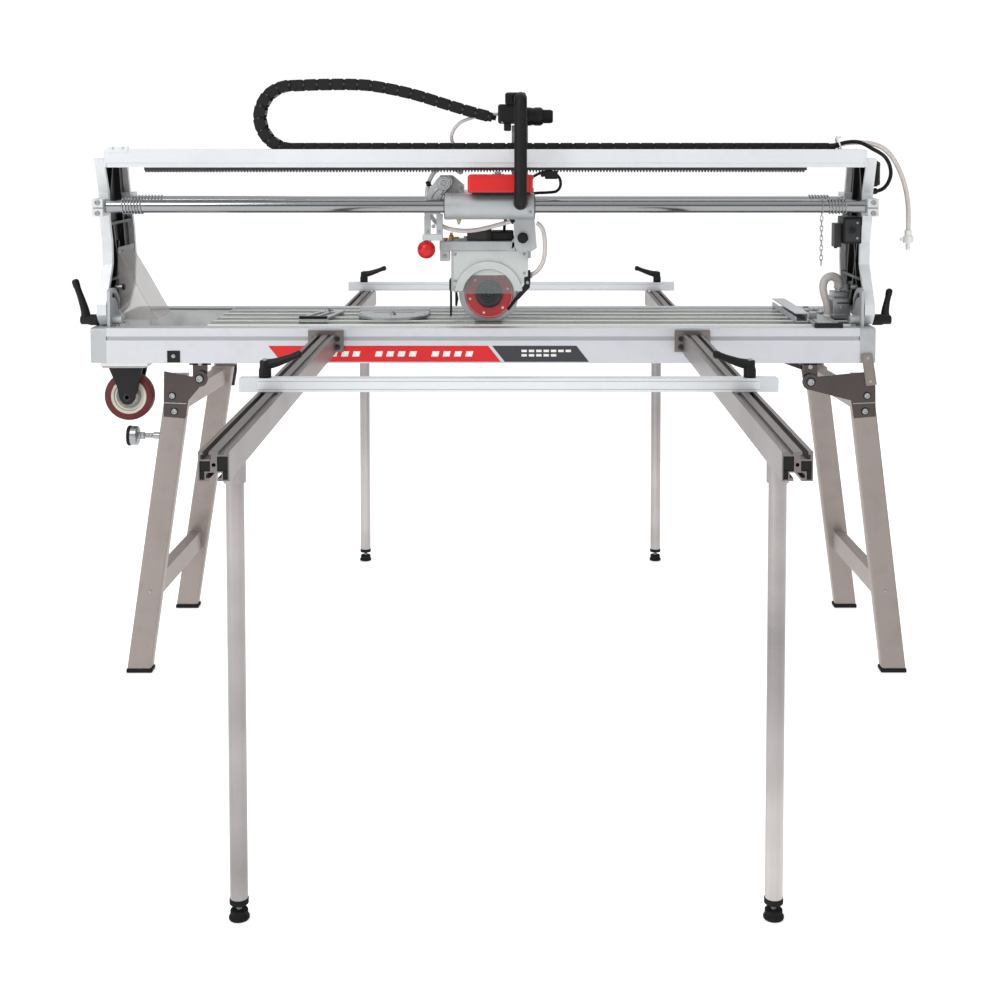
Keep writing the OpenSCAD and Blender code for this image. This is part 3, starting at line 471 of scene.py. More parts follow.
    def screw(self, x, y, z, facing, r=4.5, head=3.5, material=None, socket=True):
        """A socket or hex screw head that stands on a face and points out of it."""
        material = material or DARK_STEEL
        base, way = Vector((x, y, z)), Vector(facing)
        profile = [(0, 0), (r, 0), (r, 0.75), (r - 0.8, 1), (r * 0.55, 1), (r * 0.5, 0.45), (0, 0.4)]
        if not socket:
            profile = [(0, 0), (r * 1.25, 0), (r * 1.25, 0.2), (r, 0.2), (r, 0.9), (r - 0.6, 1), (0, 1)]
        return self.turned(profile, base, base + way * head, material, 18 if socket else 6)

    def done(self, body, replaces=(), ride=True):
        data = bpy.data.meshes.new(self.name)
        self.mesh.transform(Matrix.Translation(TABLE) @ Matrix.Scale(MM, 4))
        for face in self.mesh.faces:
            face.smooth = True
        for edge in self.mesh.edges:
            edge.smooth = len(edge.link_faces) == 2 and edge.calc_face_angle(0) < math.radians(SHARP_DEG)
        self.mesh.to_mesh(data)
        self.mesh.free()
        for material in self.materials:
            data.materials.append(material)
        piece = bpy.data.objects.new(self.name, data)
        bpy.context.collection.objects.link(piece)
        weighted = piece.modifiers.new("weighted", "WEIGHTED_NORMAL")
        weighted.keep_sharp = True
        if ride:
            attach(piece, body)
        if replaces:
            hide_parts(*([replaces] if isinstance(replaces, str) else replaces))
        return piece


# ---- free hose and its connector come first ----

def feed_hose():
    route = smooth_route(HOSE_ROUTE, 5)
    hose = Part("feed_hose_tube")
    hose.sweep(route, 5, CLEAR, 16)
    tube = hose.done("bridge", "feed_hose")
    relief = Part("feed_hose_relief")
    tip = [Vector(p) for p in route[:8]]
    relief.sweep(tip, [8.4, 8.0, 7.4, 6.8, 6.2, 5.8, 5.5, 5.3], RUBBER, 18)
    relief.done("bridge")
    end = Part("hose_quick_connector")
    x, y, z = HOSE_ROUTE[-1]
    end.turned([(5.2, 0), (7.5, 0), (7.5, 0.26), (10.6, 0.3), (11, 0.34), (11, 0.58), (10.4, 0.62),
                (6, 0.64), (5, 0.68), (5, 0.8), (4.4, 0.84), (5, 0.88), (4.4, 0.93), (5, 0.96), (3.4, 1),
                (0, 1)], (x, y, z), (x, y, z - 42), WHITE, 28)
    for dx, dy in spokes(10, 10.4):
        end.box((x + dx - 0.9, y + dy - 0.9, z - 24), (x + dx + 0.9, y + dy + 0.9, z - 14), WHITE, 0.3, 1)
    end.box((x - 17, y - 3, z - 22), (x - 8, y + 3, z - 16), WHITE, 1.2)
    plug = end.done("bridge", "hose_connector")


feed_hose()


# ---- cables and hoses held by the machine ----

def held_hoses():
    cable = Part("power_cable_run")
    cable.sweep(smooth_route(CABLE_ROUTE, 5), 4, RUBBER, 14)
    cable.done("bridge", "power_cable")
    water = Part("carriage_water_hose")
    water.sweep(smooth_route(LEFT_HOSE_ROUTE, 5), 4.5, CLEAR, 14)
    for x, y, z in (LEFT_HOSE_ROUTE[5], LEFT_HOSE_ROUTE[-1]):
        water.ring((x - 4, y, z - 2), (x + 4, y, z + 2), 6.4, 4.4, BLACK_PLASTIC)
    water.done("carriage", "water_hoses")
    loop = Part("head_water_hose")
    loop.sweep(smooth_route(RIGHT_HOSE_ROUTE, 5), 4.5, CLEAR, 14)
    piece = loop.done("carriage", "head_hose", ride=False)
    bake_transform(piece)
    wires = Part("feed_cable_loop")
    wires.sweep(smooth_route([(98, -186, 1006), (118, -184, 1016), (140, -180, 1018), (155, -176, 1006),
                              (158, -172, 990), (150, -168, 978), (132, -164, 975), (112, -160, 974),
                              (98, -156, 972)], 6), 3, RUBBER, 12)
    wires.box((126, -186, 1003), (152, -170, 1020), BLACK_PLASTIC, 2)
    wires.rod((118, -181, 1012), (127, -179, 1013), 5, BLACK_PLASTIC)
    wires.sweep(smooth_route([(30, -150, 1136), (6, -152, 1134), (-24, -152, 1128), (-48, -150, 1118),
                              (-62, -147, 1102), (-66, -144, 1086), (-60, -138, 1070), (-48, -120, 1058),
                              (-44, -118, 1040), (-46, -124, 1024), (-46, -132, 1014)], 6), 3.4, CLEAR, 12)
    wires.sweep(smooth_route([(60, -112, 970), (58, -118, 950), (50, -122, 930), (44, -112, 912),
                              (42, -100, 892)], 6), 3, RUBBER, 12)
    wires.done("carriage")


held_hoses()


# ---- painted CAD parts ----

paint(ANODISED, "rails")
paint(BEAM, "beam", "front_bar", "rear_bar")
paint(ANODISED_Y, "arms", "arm_brackets")
paint(CAST, "end_caps", "carriage", "head_brackets")
paint(BRIGHT_CAST, "uprights")
paint(ZINC, "tray")
paint(SLAT, "slats")
paint(BLACK, "upright_webs")
paint(CAST, "pivot_plates")
paint(DARK_STEEL, "rack")
paint(CHROME, "guide_bars")
paint(STEEL, "feed_pinion")
paint(LEG, "extension_legs")


# ---- table details ----

def table_details():
    labels = Part("rail_labels")
    y0, y1 = FRONT_Y - 0.4, FRONT_Y
    labels.prism([(-438, 664), (10, 664), (36, 631), (-412, 631)], "Y", y0, y1, DECAL_RED, 0.1, 1)
    labels.prism([(18, 664), (190, 664), (216, 631), (44, 631)], "Y", y0, y1, DECAL_DARK, 0.1, 1)
    labels.done("frame")
    marks = Part("rail_label_marks")
    for k in range(14):
        if k not in (4, 9):
            x = -336 + k * 23
            marks.prism([(x + 3, 653), (x + 17, 653), (x + 14, 642), (x, 642)], "Y", y0 - 0.15, y0, WHITE,
                        0.05, 1)
    for row, count in ((651, 7), (642, 5)):
        for k in range(count):
            marks.box((78 + k * 15, y0 - 0.15, row), (89 + k * 15, y0, row + 5), WHITE, 0.05, 1)
    marks.done("frame")
    # grey strips in the rail slots: painted shadow of the slot
    slot_shade = Part("rail_slot_shadows")
    for y in (FRONT_Y + 1.2, REAR_Y - 2.2):
        slot_shade.box((-767, y, 674.6), (767, y + 1, 683.4), SHADE_LINE_PAINT, 0.2, 1)
    slot_shade.done("frame")
    bolts = Part("table_screws")
    for side in (-1, 1):
        for y in (-150, 150):
            for z in (648, 683):
                bolts.screw(side * 800, y, z, (side, 0, 0), 6, 4)
        for dx in (-24, 24):
            for y, way in ((FRONT_Y - 6, -1), (REAR_Y + 6, 1)):
                bolts.screw(ARM_X + side * ARM_HALF + dx, y, 679, (0, way, 0), 5, 4)
                bolts.screw(ARM_X + side * ARM_HALF + dx, y, 662, (0, way, 0), 5, 4, socket=False)
    bolts.done("frame")
    # each slat gets a near-white strip on its front edge (painted highlight) and a black strip over the gap
    # behind it (painted shadow)
    slat_light_marks = Part("slat_highlights_and_gap_shadows")
    for k in range(5):
        y = -163 + SLAT_PITCH * k
        slat_light_marks.box((-570, y - 0.3, 697.5), (766, y + 9, SLAT_TOP + 0.15), SLAT_HIGHLIGHT, 0.1, 1)
        # black strip over the gap between slats: painted shadow
        slat_light_marks.box((-570, y + 47, 697.5), (766, y + 51.2, SLAT_TOP + 0.15), BLACK, 0.1, 1)
    # near-white strips on the slat ends: painted highlight
    for x in (-571, 765.2):
        slat_light_marks.box((x, -162, 688), (x + 1.5, -112, SLAT_TOP), SLAT_HIGHLIGHT, 0.3, 1)
        slat_light_marks.box((x, -98, 688), (x + 1.5, 148, SLAT_TOP), SLAT_HIGHLIGHT, 0.3, 1)
    slat_light_marks.done("frame")
    liner = Part("tray_liner")
    liner.box((-767, 161, 643), (-572, 164.6, 699.4), ZINC, 0.6)
    liner.box((-767.6, -160, 643), (-764, 161, 699.4), ZINC, 0.6)
    liner.box((-767, 158.5, 696.5), (-572, 161.2, 699.4), SLAT, 0.4)
    liner.done("frame")


def pump():
    piece = Part("pump_unit")
    piece.box((739, -75, 708), (777, -5, 748), STEEL, 3, 3)
    piece.box((738.2, -76, 702.2), (777.8, -4, 714), STEEL, 2.5, 3)
    piece.box((742, -60, 746), (777, -20, 760), STEEL, 3, 3)
    for k in range(5):
        piece.box((738.3, -66 + k * 12, 720), (740, -60 + k * 12, 742), GREY_PAINT, 0.4, 1)
    piece.screw(758, -75, 726, FRONT, 4.5, 2, STEEL)
    piece.box((748, -76.2, 736), (776, -74, 738.5), BLACK, 0.4)
    piece.rod((758, -40, 757), (758, -40, 769.5), 7, WHITE, 1)
    piece.ring((758, -40, 763), (758, -40, 768), 8.2, 6, STEEL)
    piece.done("frame", "pump")
    hose = Part("pump_hose")
    tube = [(758, -40, 766), (758, -42, 776), (754, -46, 785), (745, -50, 791), (734, -54, 791),
            (725, -57, 784), (721, -60, 772), (722, -62, 757), (726, -64, 742), (729, -66, 727),
            (730, -66, 714), (730, -66, 705)]
    route = smooth_route(tube, 5)
    wide = [10.5 - 4.0 * i / (len(route) - 1) for i in range(len(route))]
    hose.sweep(route, wide, CLEAR, 20)
    hose.ring((730, -66, 703), (730, -66, 712), 8.4, 6.6, WHITE)
    hose.done("frame")


def splash_guard():
    """A clear sheet that slopes from the left upright into the tray, with a front cheek."""
    piece = Part("splash_guard")
    x = BRIDGE_X - IN_FACE + 1
    line = [(x + 1, 857), (x + 1.4, 846), (x + 7, 835), (x + 32, 792), (x + 58, 745), (x + 81, 704.6)]
    outer = smooth_outline(line)
    inner = [(a - 1.6, b - 1.2) for a, b in reversed(outer)]
    piece.prism(outer + inner, "Y", -92, 40, FROST, 0.3, 1)
    cheek = [(x, 842), (x + 7, 833), (x + 32, 790), (x + 58, 743), (x + 79, 704), (x + 18, 704),
             (x + 0.4, 726)]
    piece.prism(cheek, "Y", -92, -90.6, FROST, 0.3, 1)
    for z in (848, 820):
        piece.screw(x + 2, -60 if z > 830 else -40, z, RIGHT, 3, 2, STEEL)
    piece.done("bridge", "splash_shield")


def table_brackets():
    """Pivot lugs, the black rail clip and the latch strip at the right end."""
    piece = Part("rail_brackets")
    for x, z in (LEFT_PIVOT, RIGHT_PIVOT):
        for low, high in ((-203, -198), (198, 203)):
            tab = [(x + a, z + b) for a, b in arc(0, 0, 15, 180, 360, 16)] + [(x + 15, 628), (x - 15, 628)]
            piece.prism(tab, "Y", low, high, PLATE, 0.6)
            piece.box((x - 22, low, 624), (x + 22, high, 628), PLATE, 0.5)
    piece.box((-644, -207, 630), (-618, -205, 654), BLACK, 0.5)
    piece.screw(-631, -207, 643, FRONT, 4, 1.6, STEEL)
    piece.prism([(770, 646), (792, 649), (802, 585), (780, 582)], "Y", -212, -210, LATCH, 0.5)
    for edge, dz in ((770.5, 0), (790, 2.6)):
        piece.prism([(edge, 646 + dz), (edge + 2, 646 + dz), (edge + 12, 583 + dz), (edge + 10, 583 + dz)],
                    "Y", -213, -211.6, LATCH, 0.3, 1)
    for x, z in ((783, 640), (789, 592)):
        piece.screw(x, -212, z, FRONT, 3.4, 1, STEEL)
    piece.rod((783, -210, 640), (783, -205, 640), 4, STEEL)
    piece.done("frame", "fixed_lugs")


table_details()
pump()
splash_guard()
table_brackets()


# ---- casters and trestles ----

def wheel(name, body, node):
    piece = Part(name)

    def at(offset):
        return Vector(CASTER) + Vector((0, offset, 0))

    tyre = [(37, -13), (45, -14), (49, -12.4), (50.6, -8), (51, 0), (50.6, 8), (49, 12.4), (45, 14),
            (37, 13), (35, 0), (37, -13)]
    piece.tube_profile([(r, (h + 16) / 32) for r, h in tyre], at(-16), at(16), TYRE, 64)
    rim = [(31, -11), (38, -12), (38, 12), (31, 11), (31, -11)]
    piece.tube_profile([(r, (h + 16) / 32) for r, h in rim], at(-16), at(16), HUB, 56)
    piece.ring(at(-16), at(16), 13, 5.2, HUB, 1)
    piece.ring(at(-4), at(4), 32, 12, HUB, 0.5)
    for r, wide in ((31, 8.5), (24, 5), (17, 11)):
        piece.ring(at(-wide), at(wide), r, r - 5, HUB if r != 24 else GREY_PAINT, 1)
    piece.done(body, node)


def caster_fork():
    piece = Part("caster_bracket")
    middle, y, axle_z = CASTER
    piece.box((-788, y - 30, 618), (-690, y + 30, 628), WHITE, 1.2)
    piece.box((-784, y - 29.5, 614.5), (-694, y + 29.5, 618.2), STEEL, 0.8)
    for t in (-1, 1):
        near, far = y + t * 18, y + t * 24
        side = [(-776, 622), (-702, 622), (-715, 575), (-719, 548), (-726, 539), (-735, 537), (-744, 539),
                (-751, 548), (-756, 575)]
        piece.prism(side, "Y", near, far, BLACK, 1.2)
        rib = [(-704, 622), (-701, 622), (-715, 560), (-718, 560)]
        piece.prism(rib, "Y", near, far + t * 2, BLACK, 0.5)
        piece.screw(middle, far, axle_z, (0, t, 0), 7, 3, DARK_STEEL, socket=False)
        for x in (-778, -700):
            piece.screw(x, y + t * 12, 621.5, (0, 0, -1), 4, 3, STEEL, socket=False)
    piece.rod((middle, y - 27, axle_z), (middle, y + 27, axle_z), 4.9, STEEL)
    piece.done("frame", "caster_forks")


def on_leg(foot, top, z):
    """A leg's X or Y at a height, between its foot and its top."""
    return foot + (top - foot) * (z - SOLE_TOP_Z) / (LEG_TOP_Z - SOLE_TOP_Z)


def trestle_leg(piece, side, inward, foot, top, pivot):
    """One leg with its sole, end plate, bolts and pivot. side is -1 in front."""
    foot_x, foot_y = foot
    top_x, top_y = top
    pivot_x, pivot_z = pivot
    near, far = side * 204.2, side * 209
    way = (0, side, 0)
    low_z = 7
    low = (on_leg(foot_x, top_x, low_z), on_leg(foot_y, top_y, low_z), low_z)
    piece.bar(low, (top_x, top_y, LEG_TOP_Z + 1), 49, 28, TUBE, 4)
    piece.bar((foot_x, foot_y, 0), (foot_x, foot_y, 8), 52.6, 31.6, RUBBER, 2)
    piece.bar((foot_x, foot_y, low_z), (foot_x, foot_y, SOLE_TOP_Z), 46, 25, RUBBER, 2)
    angles = [math.radians(a) for a in range(0, 181, 15)]
    ear = [(pivot_x + 17 * inward * math.sin(a), pivot_z + 17 * math.cos(a)) for a in angles]
    ear += [(top_x + inward * 24.5, 552), (top_x + inward * 18.5, 515), (top_x - inward * 26.5, 519),
            (top_x - inward * 24.5, 612), (pivot_x - inward * 16, 601)]
    piece.prism(ear, "Y", near, far, PLATE, 0.8)
    fold = [(top_x + inward * 20, 545), (top_x - inward * 26, 547), (top_x - inward * 26, 548.5),
            (top_x + inward * 20, 546.5)]
    piece.prism(fold, "Y", near, far + side * 0.3, STEEL, 0.1, 1)
    piece.screw(pivot_x, far, pivot_z, way, 7, 4, STEEL)
    piece.ring((pivot_x, far, pivot_z), (pivot_x, far + side, pivot_z), 9.5, 6.5, BLACK, 0.2)
    piece.rod((pivot_x, side * 192, pivot_z), (pivot_x, near, pivot_z), 6, STEEL)
    for z, dx in ((530, 4), (562, 8)):
        x = top_x - inward * dx
        piece.screw(x, far, z, way, 6, 4, STEEL)
        piece.ring((x, far, z), (x, far + side, z), 8, 5.6, BLACK, 0.2)
    piece.box((top_x - 20, side * 200, 520), (top_x + 20, near, 560), PLATE, 0.6)
    cap = [(top_x - 24, LEG_TOP_Z), (top_x + 24, LEG_TOP_Z), (top_x + 22, 606), (top_x - 22, 606)]
    piece.prism(cap, "Y", side * 184, side * 204, TUBE, 1)


def trestle(name, body, node, foot_x, top_x, pivot):
    """Two legs and two cross members. The rear leg stands a little further in."""
    piece = Part(name)
    inward = -1 if pivot[0] > 0 else 1
    rear_foot = foot_x + 6 * inward
    rear_top = top_x + 24 * inward
    trestle_leg(piece, -1, inward, (foot_x, FOOT_FRONT_Y), (top_x, TOP_FRONT_Y), pivot)
    trestle_leg(piece, 1, inward, (rear_foot, FOOT_REAR_Y), (rear_top, TOP_REAR_Y), pivot)
    for low_z, high_z, half in ((142, 186, 12), (528, 565, 14)):
        z = (low_z + high_z) / 2
        x0, y0 = on_leg(foot_x, top_x, z), on_leg(FOOT_FRONT_Y, TOP_FRONT_Y, z)
        x1, y1 = on_leg(rear_foot, rear_top, z), on_leg(FOOT_REAR_Y, TOP_REAR_Y, z)
        plan = [(x0 - half, y0 + 8), (x0 + half, y0 + 8), (x1 + half, y1 - 8), (x1 - half, y1 - 8)]
        piece.prism(plan, "Z", low_z, high_z, TUBE, 2.5, 3)
        piece.screw(x0, y0 - 13.5, z, FRONT, 4, 2, STEEL)
        piece.screw(x1, y1 + 13.5, z, (0, 1, 0), 4, 2, STEEL)
    if node == "trestle_left":
        y, z = BUMPER[1:]
        piece.ring((-676, y, z), (-659, y, z), 6.8, 4.6, STEEL)
    piece.done(body, node)


def bumper_foot():
    piece = Part("bumper_pad")
    x, y, z = BUMPER
    end = (x + 63, y, z)
    pad = [(0, 0), (19, 0), (20.5, 0.02), (20.5, 0.1), (19.5, 0.11), (0, 0.11)]
    piece.turned(pad, BUMPER, end, RUBBER)
    stem = [(0, 0.1), (19, 0.1), (19.6, 0.14), (19.6, 0.3), (17, 0.34), (8, 0.36), (6.5, 0.42), (4.4, 0.43),
            (4.4, 1), (0, 1)]
    piece.turned(stem, BUMPER, end, STEEL)
    piece.ring((x + 27, y, z), (x + 34, y, z), 8.5, 4.4, STEEL, steps=6)
    for k in range(14):
        piece.ring((x + 22 + k * 2.8, y, z), (x + 23.4 + k * 2.8, y, z), 5, 4.2, STEEL, 0.3, 24)
    piece.done("bumper", "bumper_foot")


wheel("caster_wheel_front", "front_wheel", "wheel_front")
caster_fork()
trestle("trestle_frame_left", "left_trestle", "trestle_left", -700, -626, LEFT_PIVOT)
trestle("trestle_frame_right", "right_trestle", "trestle_right", 836, 775, RIGHT_PIVOT)
bumper_foot()


# ---- extensions ----

def lever_arm(piece, line, thick, taper, tip, flat):
    """A flattened grip along a line, thinner towards its swollen, rounded end."""
    arm = smooth_route(line, 6)
    swollen = len(arm) - 8
    radii = [thick - taper * min(1, i / 14) + (0.8 if i > swollen else 0) for i in range(len(arm))]
    radii[-2:] = tip
    piece.sweep(arm, radii, BLACK_PLASTIC, 20, flat)


def clamp_lever(name, body, node, x, y, inward):
    piece = Part(name)
    z = 710.1
    piece.turned([(0, 0), (9.5, 0), (9.5, 0.5), (8.6, 0.56), (8.2, 0.95), (7, 1), (0, 1)], (x, y, z),
                 (x, y, z + 27), BLACK_PLASTIC)
    for dx, dy in spokes(14, 9.1):
        piece.rod((x + dx, y + dy, z + 1), (x + dx, y + dy, z + 13), 0.9, BLACK_PLASTIC, 0.3, 8)
    bends = ((0, 20), (16, 23), (34, 29), (50, 35), (58, 37))
    line = [(x + inward * out, y, z + up) for out, up in bends]
    lever_arm(piece, line, 9.2, 3.2, (5.4, 3.4), 0.8)
    piece.screw(x, y, z + 26.6, UP, 4, 3, STEEL)
    piece.rod((x, y, 680), (x, y, z + 1), 3.5, STEEL)
    piece.rod((x, y, 679), (x, y, 683), 6, STEEL, 0.4)
    piece.done(body, node)


def extension_foot(name, body, node, x, y):
    piece = Part(name)
    piece.turned([(0, 0), (13.5, 0), (14.5, 0.1), (14.5, 0.3), (13, 0.45), (12.4, 0.5), (12.4, 0.92),
                  (11.5, 1), (0, 1)], (x, y, 0), (x, y, 14), RUBBER)
    piece.rod((x, y, 13), (x, y, 88), 3.7, STEEL)
    for k in range(6):
        piece.ring((x, y, 14.5 + k * 1.3), (x, y, 15.2 + k * 1.3), 4.0, 3.4, STEEL, 0.2, 20)
    piece.done(body, node)


def cross_bar_ends_and_shade_lines():
    for body, y in CROSS_BARS_Y.items():
        piece = Part(body + "_ends_and_shade_lines")
        for x in (-370, 450):
            piece.box((x, y - 0.3, 688), (x + 30, y + 24.3, 710.1), BAR_END, 1.2, 3)
        # thin grey lines along the cross bar face: painted shade lines
        for dy, dz in ((-0.25, 692), (-0.25, 705)):
            piece.box((-340, y + dy, dz), (450, y + dy + 0.6, dz + 0.8), SHADE_LINE_PAINT, 0.05, 1)
        piece.done(body)


def extension_details():
    piece = Part("extension_fittings_and_cavity_shade")
    for side in (-1, 1):
        x = ARM_X + side * ARM_HALF
        for y in ROUND_LEGS_Y.values():
            piece.ring((x, y, 640), (x, y, 651), 12.6, 12.1, ANODISED, 0.2)
            piece.screw(x, y - 12, 628, FRONT, 3, 2.4, DARK_STEEL)
            piece.ring((x, y, 22.2), (x, y, 30), 13.4, 12.3, RUBBER, 0.4)
        # black sheets just inside each arm end: painted shade filling the profile cavities
        for y in (-1366, 693):
            for low, high in ((-17.8, -4.9), (4.9, 17.8)):
                top = 681.6 if low < 0 else 675.6
                piece.box((x + side * low, y - 1, 663), (x + side * high, y + 1, top), BLACK_PLASTIC, 0.2,
                          1)
                edge = -17.8 if low < 0 else 12.2
                piece.box((x + side * edge, y - 1, 652), (x + side * (edge + 5.6), y + 1, 664),
                          BLACK_PLASTIC, 0.2, 1)
    piece.done("frame")


for side, word in ((-1, "left"), (1, "right")):
    lever_x = ARM_X + side * (ARM_HALF + 10)
    clamp_lever("clamp_lever_front_" + word, "front_" + word + "_clamp", "lever_front_" + word, lever_x,
                -902, -side)
    clamp_lever("clamp_lever_rear_" + word, "rear_" + word + "_clamp", "lever_rear_" + word, lever_x, 678,
                -side)
    for end, foot_y in ROUND_LEGS_Y.items():
        tail = end + "_" + word
        extension_foot("screw_foot_" + tail, "foot_screw_" + tail, "foot_" + tail, ARM_X + side * ARM_HALF,
                       foot_y)
extension_details()
cross_bar_ends_and_shade_lines()


# ---- bridge ----

def mirrored(x, side):
    return BRIDGE_X + side * x


def bridge_details():
    piece = Part("upright_screws")
    for side in (-1, 1):
        out = mirrored(UPRIGHT_OUT, side)
        inner = mirrored(IN_FACE, side)
        for z in (934, 956):
            piece.screw(mirrored(787, side), -206, z, FRONT, 5, 4, STEEL)
        for y, z in ((20, 947.5), (-180, 947.5)):
            piece.rod((out - side * 1, y, z), (out + side * 1.6, y, z), 16, BLACK_PLASTIC, 1)
        for y, z in ((-60, 1030), (-20, 1030), (-150, 1030), (40, 840), (-80, 735)):
            piece.screw(out - side * 2, y, z, (side, 0, 0), 5, 3.4, DARK_STEEL)
        for y, z in ((-150, 1030), (-10, 1030), (24, 930)):
            piece.screw(inner, y, z, (-side, 0, 0), 3.6, 2.4, DARK_STEEL)
        piece.rod((inner - side * 18, -120, 776), (inner - side * 1.2, -120, 776), 5, STEEL)
        piece.rod((inner - side * 22, -120, 776), (inner - side * 17, -120, 776), 7, BLACK_PLASTIC, 1.5)
    for x, side in ((-771.5, -1), (781.5, 1)):
        for y in (-178, -136):
            piece.screw(x, y, 1044.5, (side, 0, 0), 3.6, 2, STEEL)
    piece.done("bridge")
    tie = Part("beam_clip_and_tie")
    for x in (-752, -732):
        tie.screw(x, -189.5, 1066, FRONT, 3.2, 2, BLACK)
    tie.ring((728, -157, 1073), (731, -157, 1074), 15, 13.4, WHITE, 0.3, 28)
    tie.box((724, -163, 1086), (734, -157, 1091), WHITE, 1)
    tie.done("bridge")


def springs():
    piece = Part("bumper_springs")
    for x, y, length in ((-740, FRONT_BAR_Y, 46), (-762, REAR_BAR_Y, 66), (702, FRONT_BAR_Y, 42),
                         (702, REAR_BAR_Y, 48)):
        turns = round(length / 7)
        steps = turns * 20
        line = []
        for i in range(steps + 1):
            a = 2 * math.pi * i / 20
            line.append((x + 1.4 + (length - 2.8) * i / steps, y + 15.2 * math.cos(a),
                         BAR_Z + 15.2 * math.sin(a)))
        piece.sweep(line, 1.45, STEEL, 8)
    for k in range(10):
        z = BAR_Z - 19 - k * 10
        loop = []
        for i in range(17):
            a = 2 * math.pi * i / 16
            across, up = 2.9 * math.cos(a), 6.4 * math.sin(a) - 6.5
            dx, dy = (across, 0) if k % 2 == 0 else (0, across)
            loop.append((692 + dx, FRONT_BAR_Y + dy, z + up))
        piece.sweep(loop, 0.95, STEEL, 8)
    piece.ring((690.8, FRONT_BAR_Y, BAR_Z), (693.2, FRONT_BAR_Y, BAR_Z), 16, 13.6, STEEL)
    piece.sweep([(692, FRONT_BAR_Y, BAR_Z - 15), (692, FRONT_BAR_Y, BAR_Z - 20.5)], 1.2, STEEL, 8)
    piece.done("bridge", "bar_springs")


def link(piece, centre, ahead, pitch=CHAIN_PITCH):
    """One energy chain link: two side plates, two cross bars and its pins."""
    x, z = centre
    wide = CHAIN_WIDTH / 2
    angle = math.atan2(ahead[1], ahead[0])
    piece.turn = Matrix.Translation((x, CHAIN_Y, z)) @ Matrix.Rotation(-angle, 4, "Y")
    half, deep = pitch / 2, CHAIN_DEPTH / 2
    for side in (-1, 1):
        outer, inner = side * wide, side * (wide - 3.4)
        piece.box((-half + 1.5, outer, -deep), (half - 1.5, inner, deep), BLACK_PLASTIC, 2, 1)
        inset, far = side * (wide - 2.2), side * (wide - 6)
        piece.box((half - 6, inset, -deep + 2), (half + 7, far, deep - 2), BLACK_PLASTIC, 1.5, 1)
        pin_end = side * (wide - 0.6)
        piece.rod((half - 1, outer, 0), (half - 1, pin_end, 0), 3.4, DARK_GREY, 0.2, 14)
    for z0 in (-deep, deep - 2.6):
        piece.box((-5, -wide + 3, z0), (5, wide - 3, z0 + 2.6), BLACK_PLASTIC, 0.6, 1)
    piece.turn = Matrix.Identity(4)


def along_route(route, start, pitch, last):
    """Places and directions every pitch along a route."""
    found = []
    travelled, target = 0.0, start
    for a, b in zip(route, route[1:]):
        step = math.dist(a, b)
        while target <= travelled + step and target <= last:
            t = (target - travelled) / step
            found.append(((a[0] + (b[0] - a[0]) * t, a[1] + (b[1] - a[1]) * t), (b[0] - a[0], b[1] - a[1])))
            target += pitch
        travelled += step
    return found


def chain():
    high = CHAIN_LOW + 2 * LOOP_R
    half = CHAIN_PITCH / 2
    fixed_x = 709
    lower = Part("chain_lower_run")
    for k in range(40):
        x = fixed_x - half - k * CHAIN_PITCH
        if x - half > LOOP_X - 2:
            link(lower, (x, CHAIN_LOW), (-1, 0))
    lower.sweep([(fixed_x, CHAIN_Y, CHAIN_LOW), (LOOP_X, CHAIN_Y, CHAIN_LOW)], 5, RUBBER, 10)
    low_run = lower.done("bridge", "chain_lower", ride=False)
    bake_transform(low_run)
    bend = Part("chain_bend")
    half_ring = arc(LOOP_X, CHAIN_LOW + LOOP_R, LOOP_R, 270, 90, 60)
    for spot, ahead in along_route(half_ring, 11, BEND_PITCH, 198):
        link(bend, spot, ahead, pitch=BEND_PITCH)
    bend.sweep([(x, CHAIN_Y, z) for x, z in half_ring], 5, RUBBER, 10)
    bend.done("chain_curve", "chain_loop")
    upper = Part("chain_upper_run")
    run = [(LOOP_X + 0.2, high), (-330, 1196), (-262, 1196), (-213, 1191), (-143, 1176), (-71, 1154),
           (-20, 1139), (26, 1127)]
    smooth = smooth_outline(run)
    total = sum(math.dist(a, b) for a, b in zip(smooth, smooth[1:]))
    for spot, ahead in along_route(smooth, half, CHAIN_PITCH, total - half):
        link(upper, spot, ahead)
    upper.sweep([(x, CHAIN_Y, z) for x, z in smooth], 5, RUBBER, 10)
    top_run = upper.done("carriage", "chain_upper", ride=False)
    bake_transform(top_run)


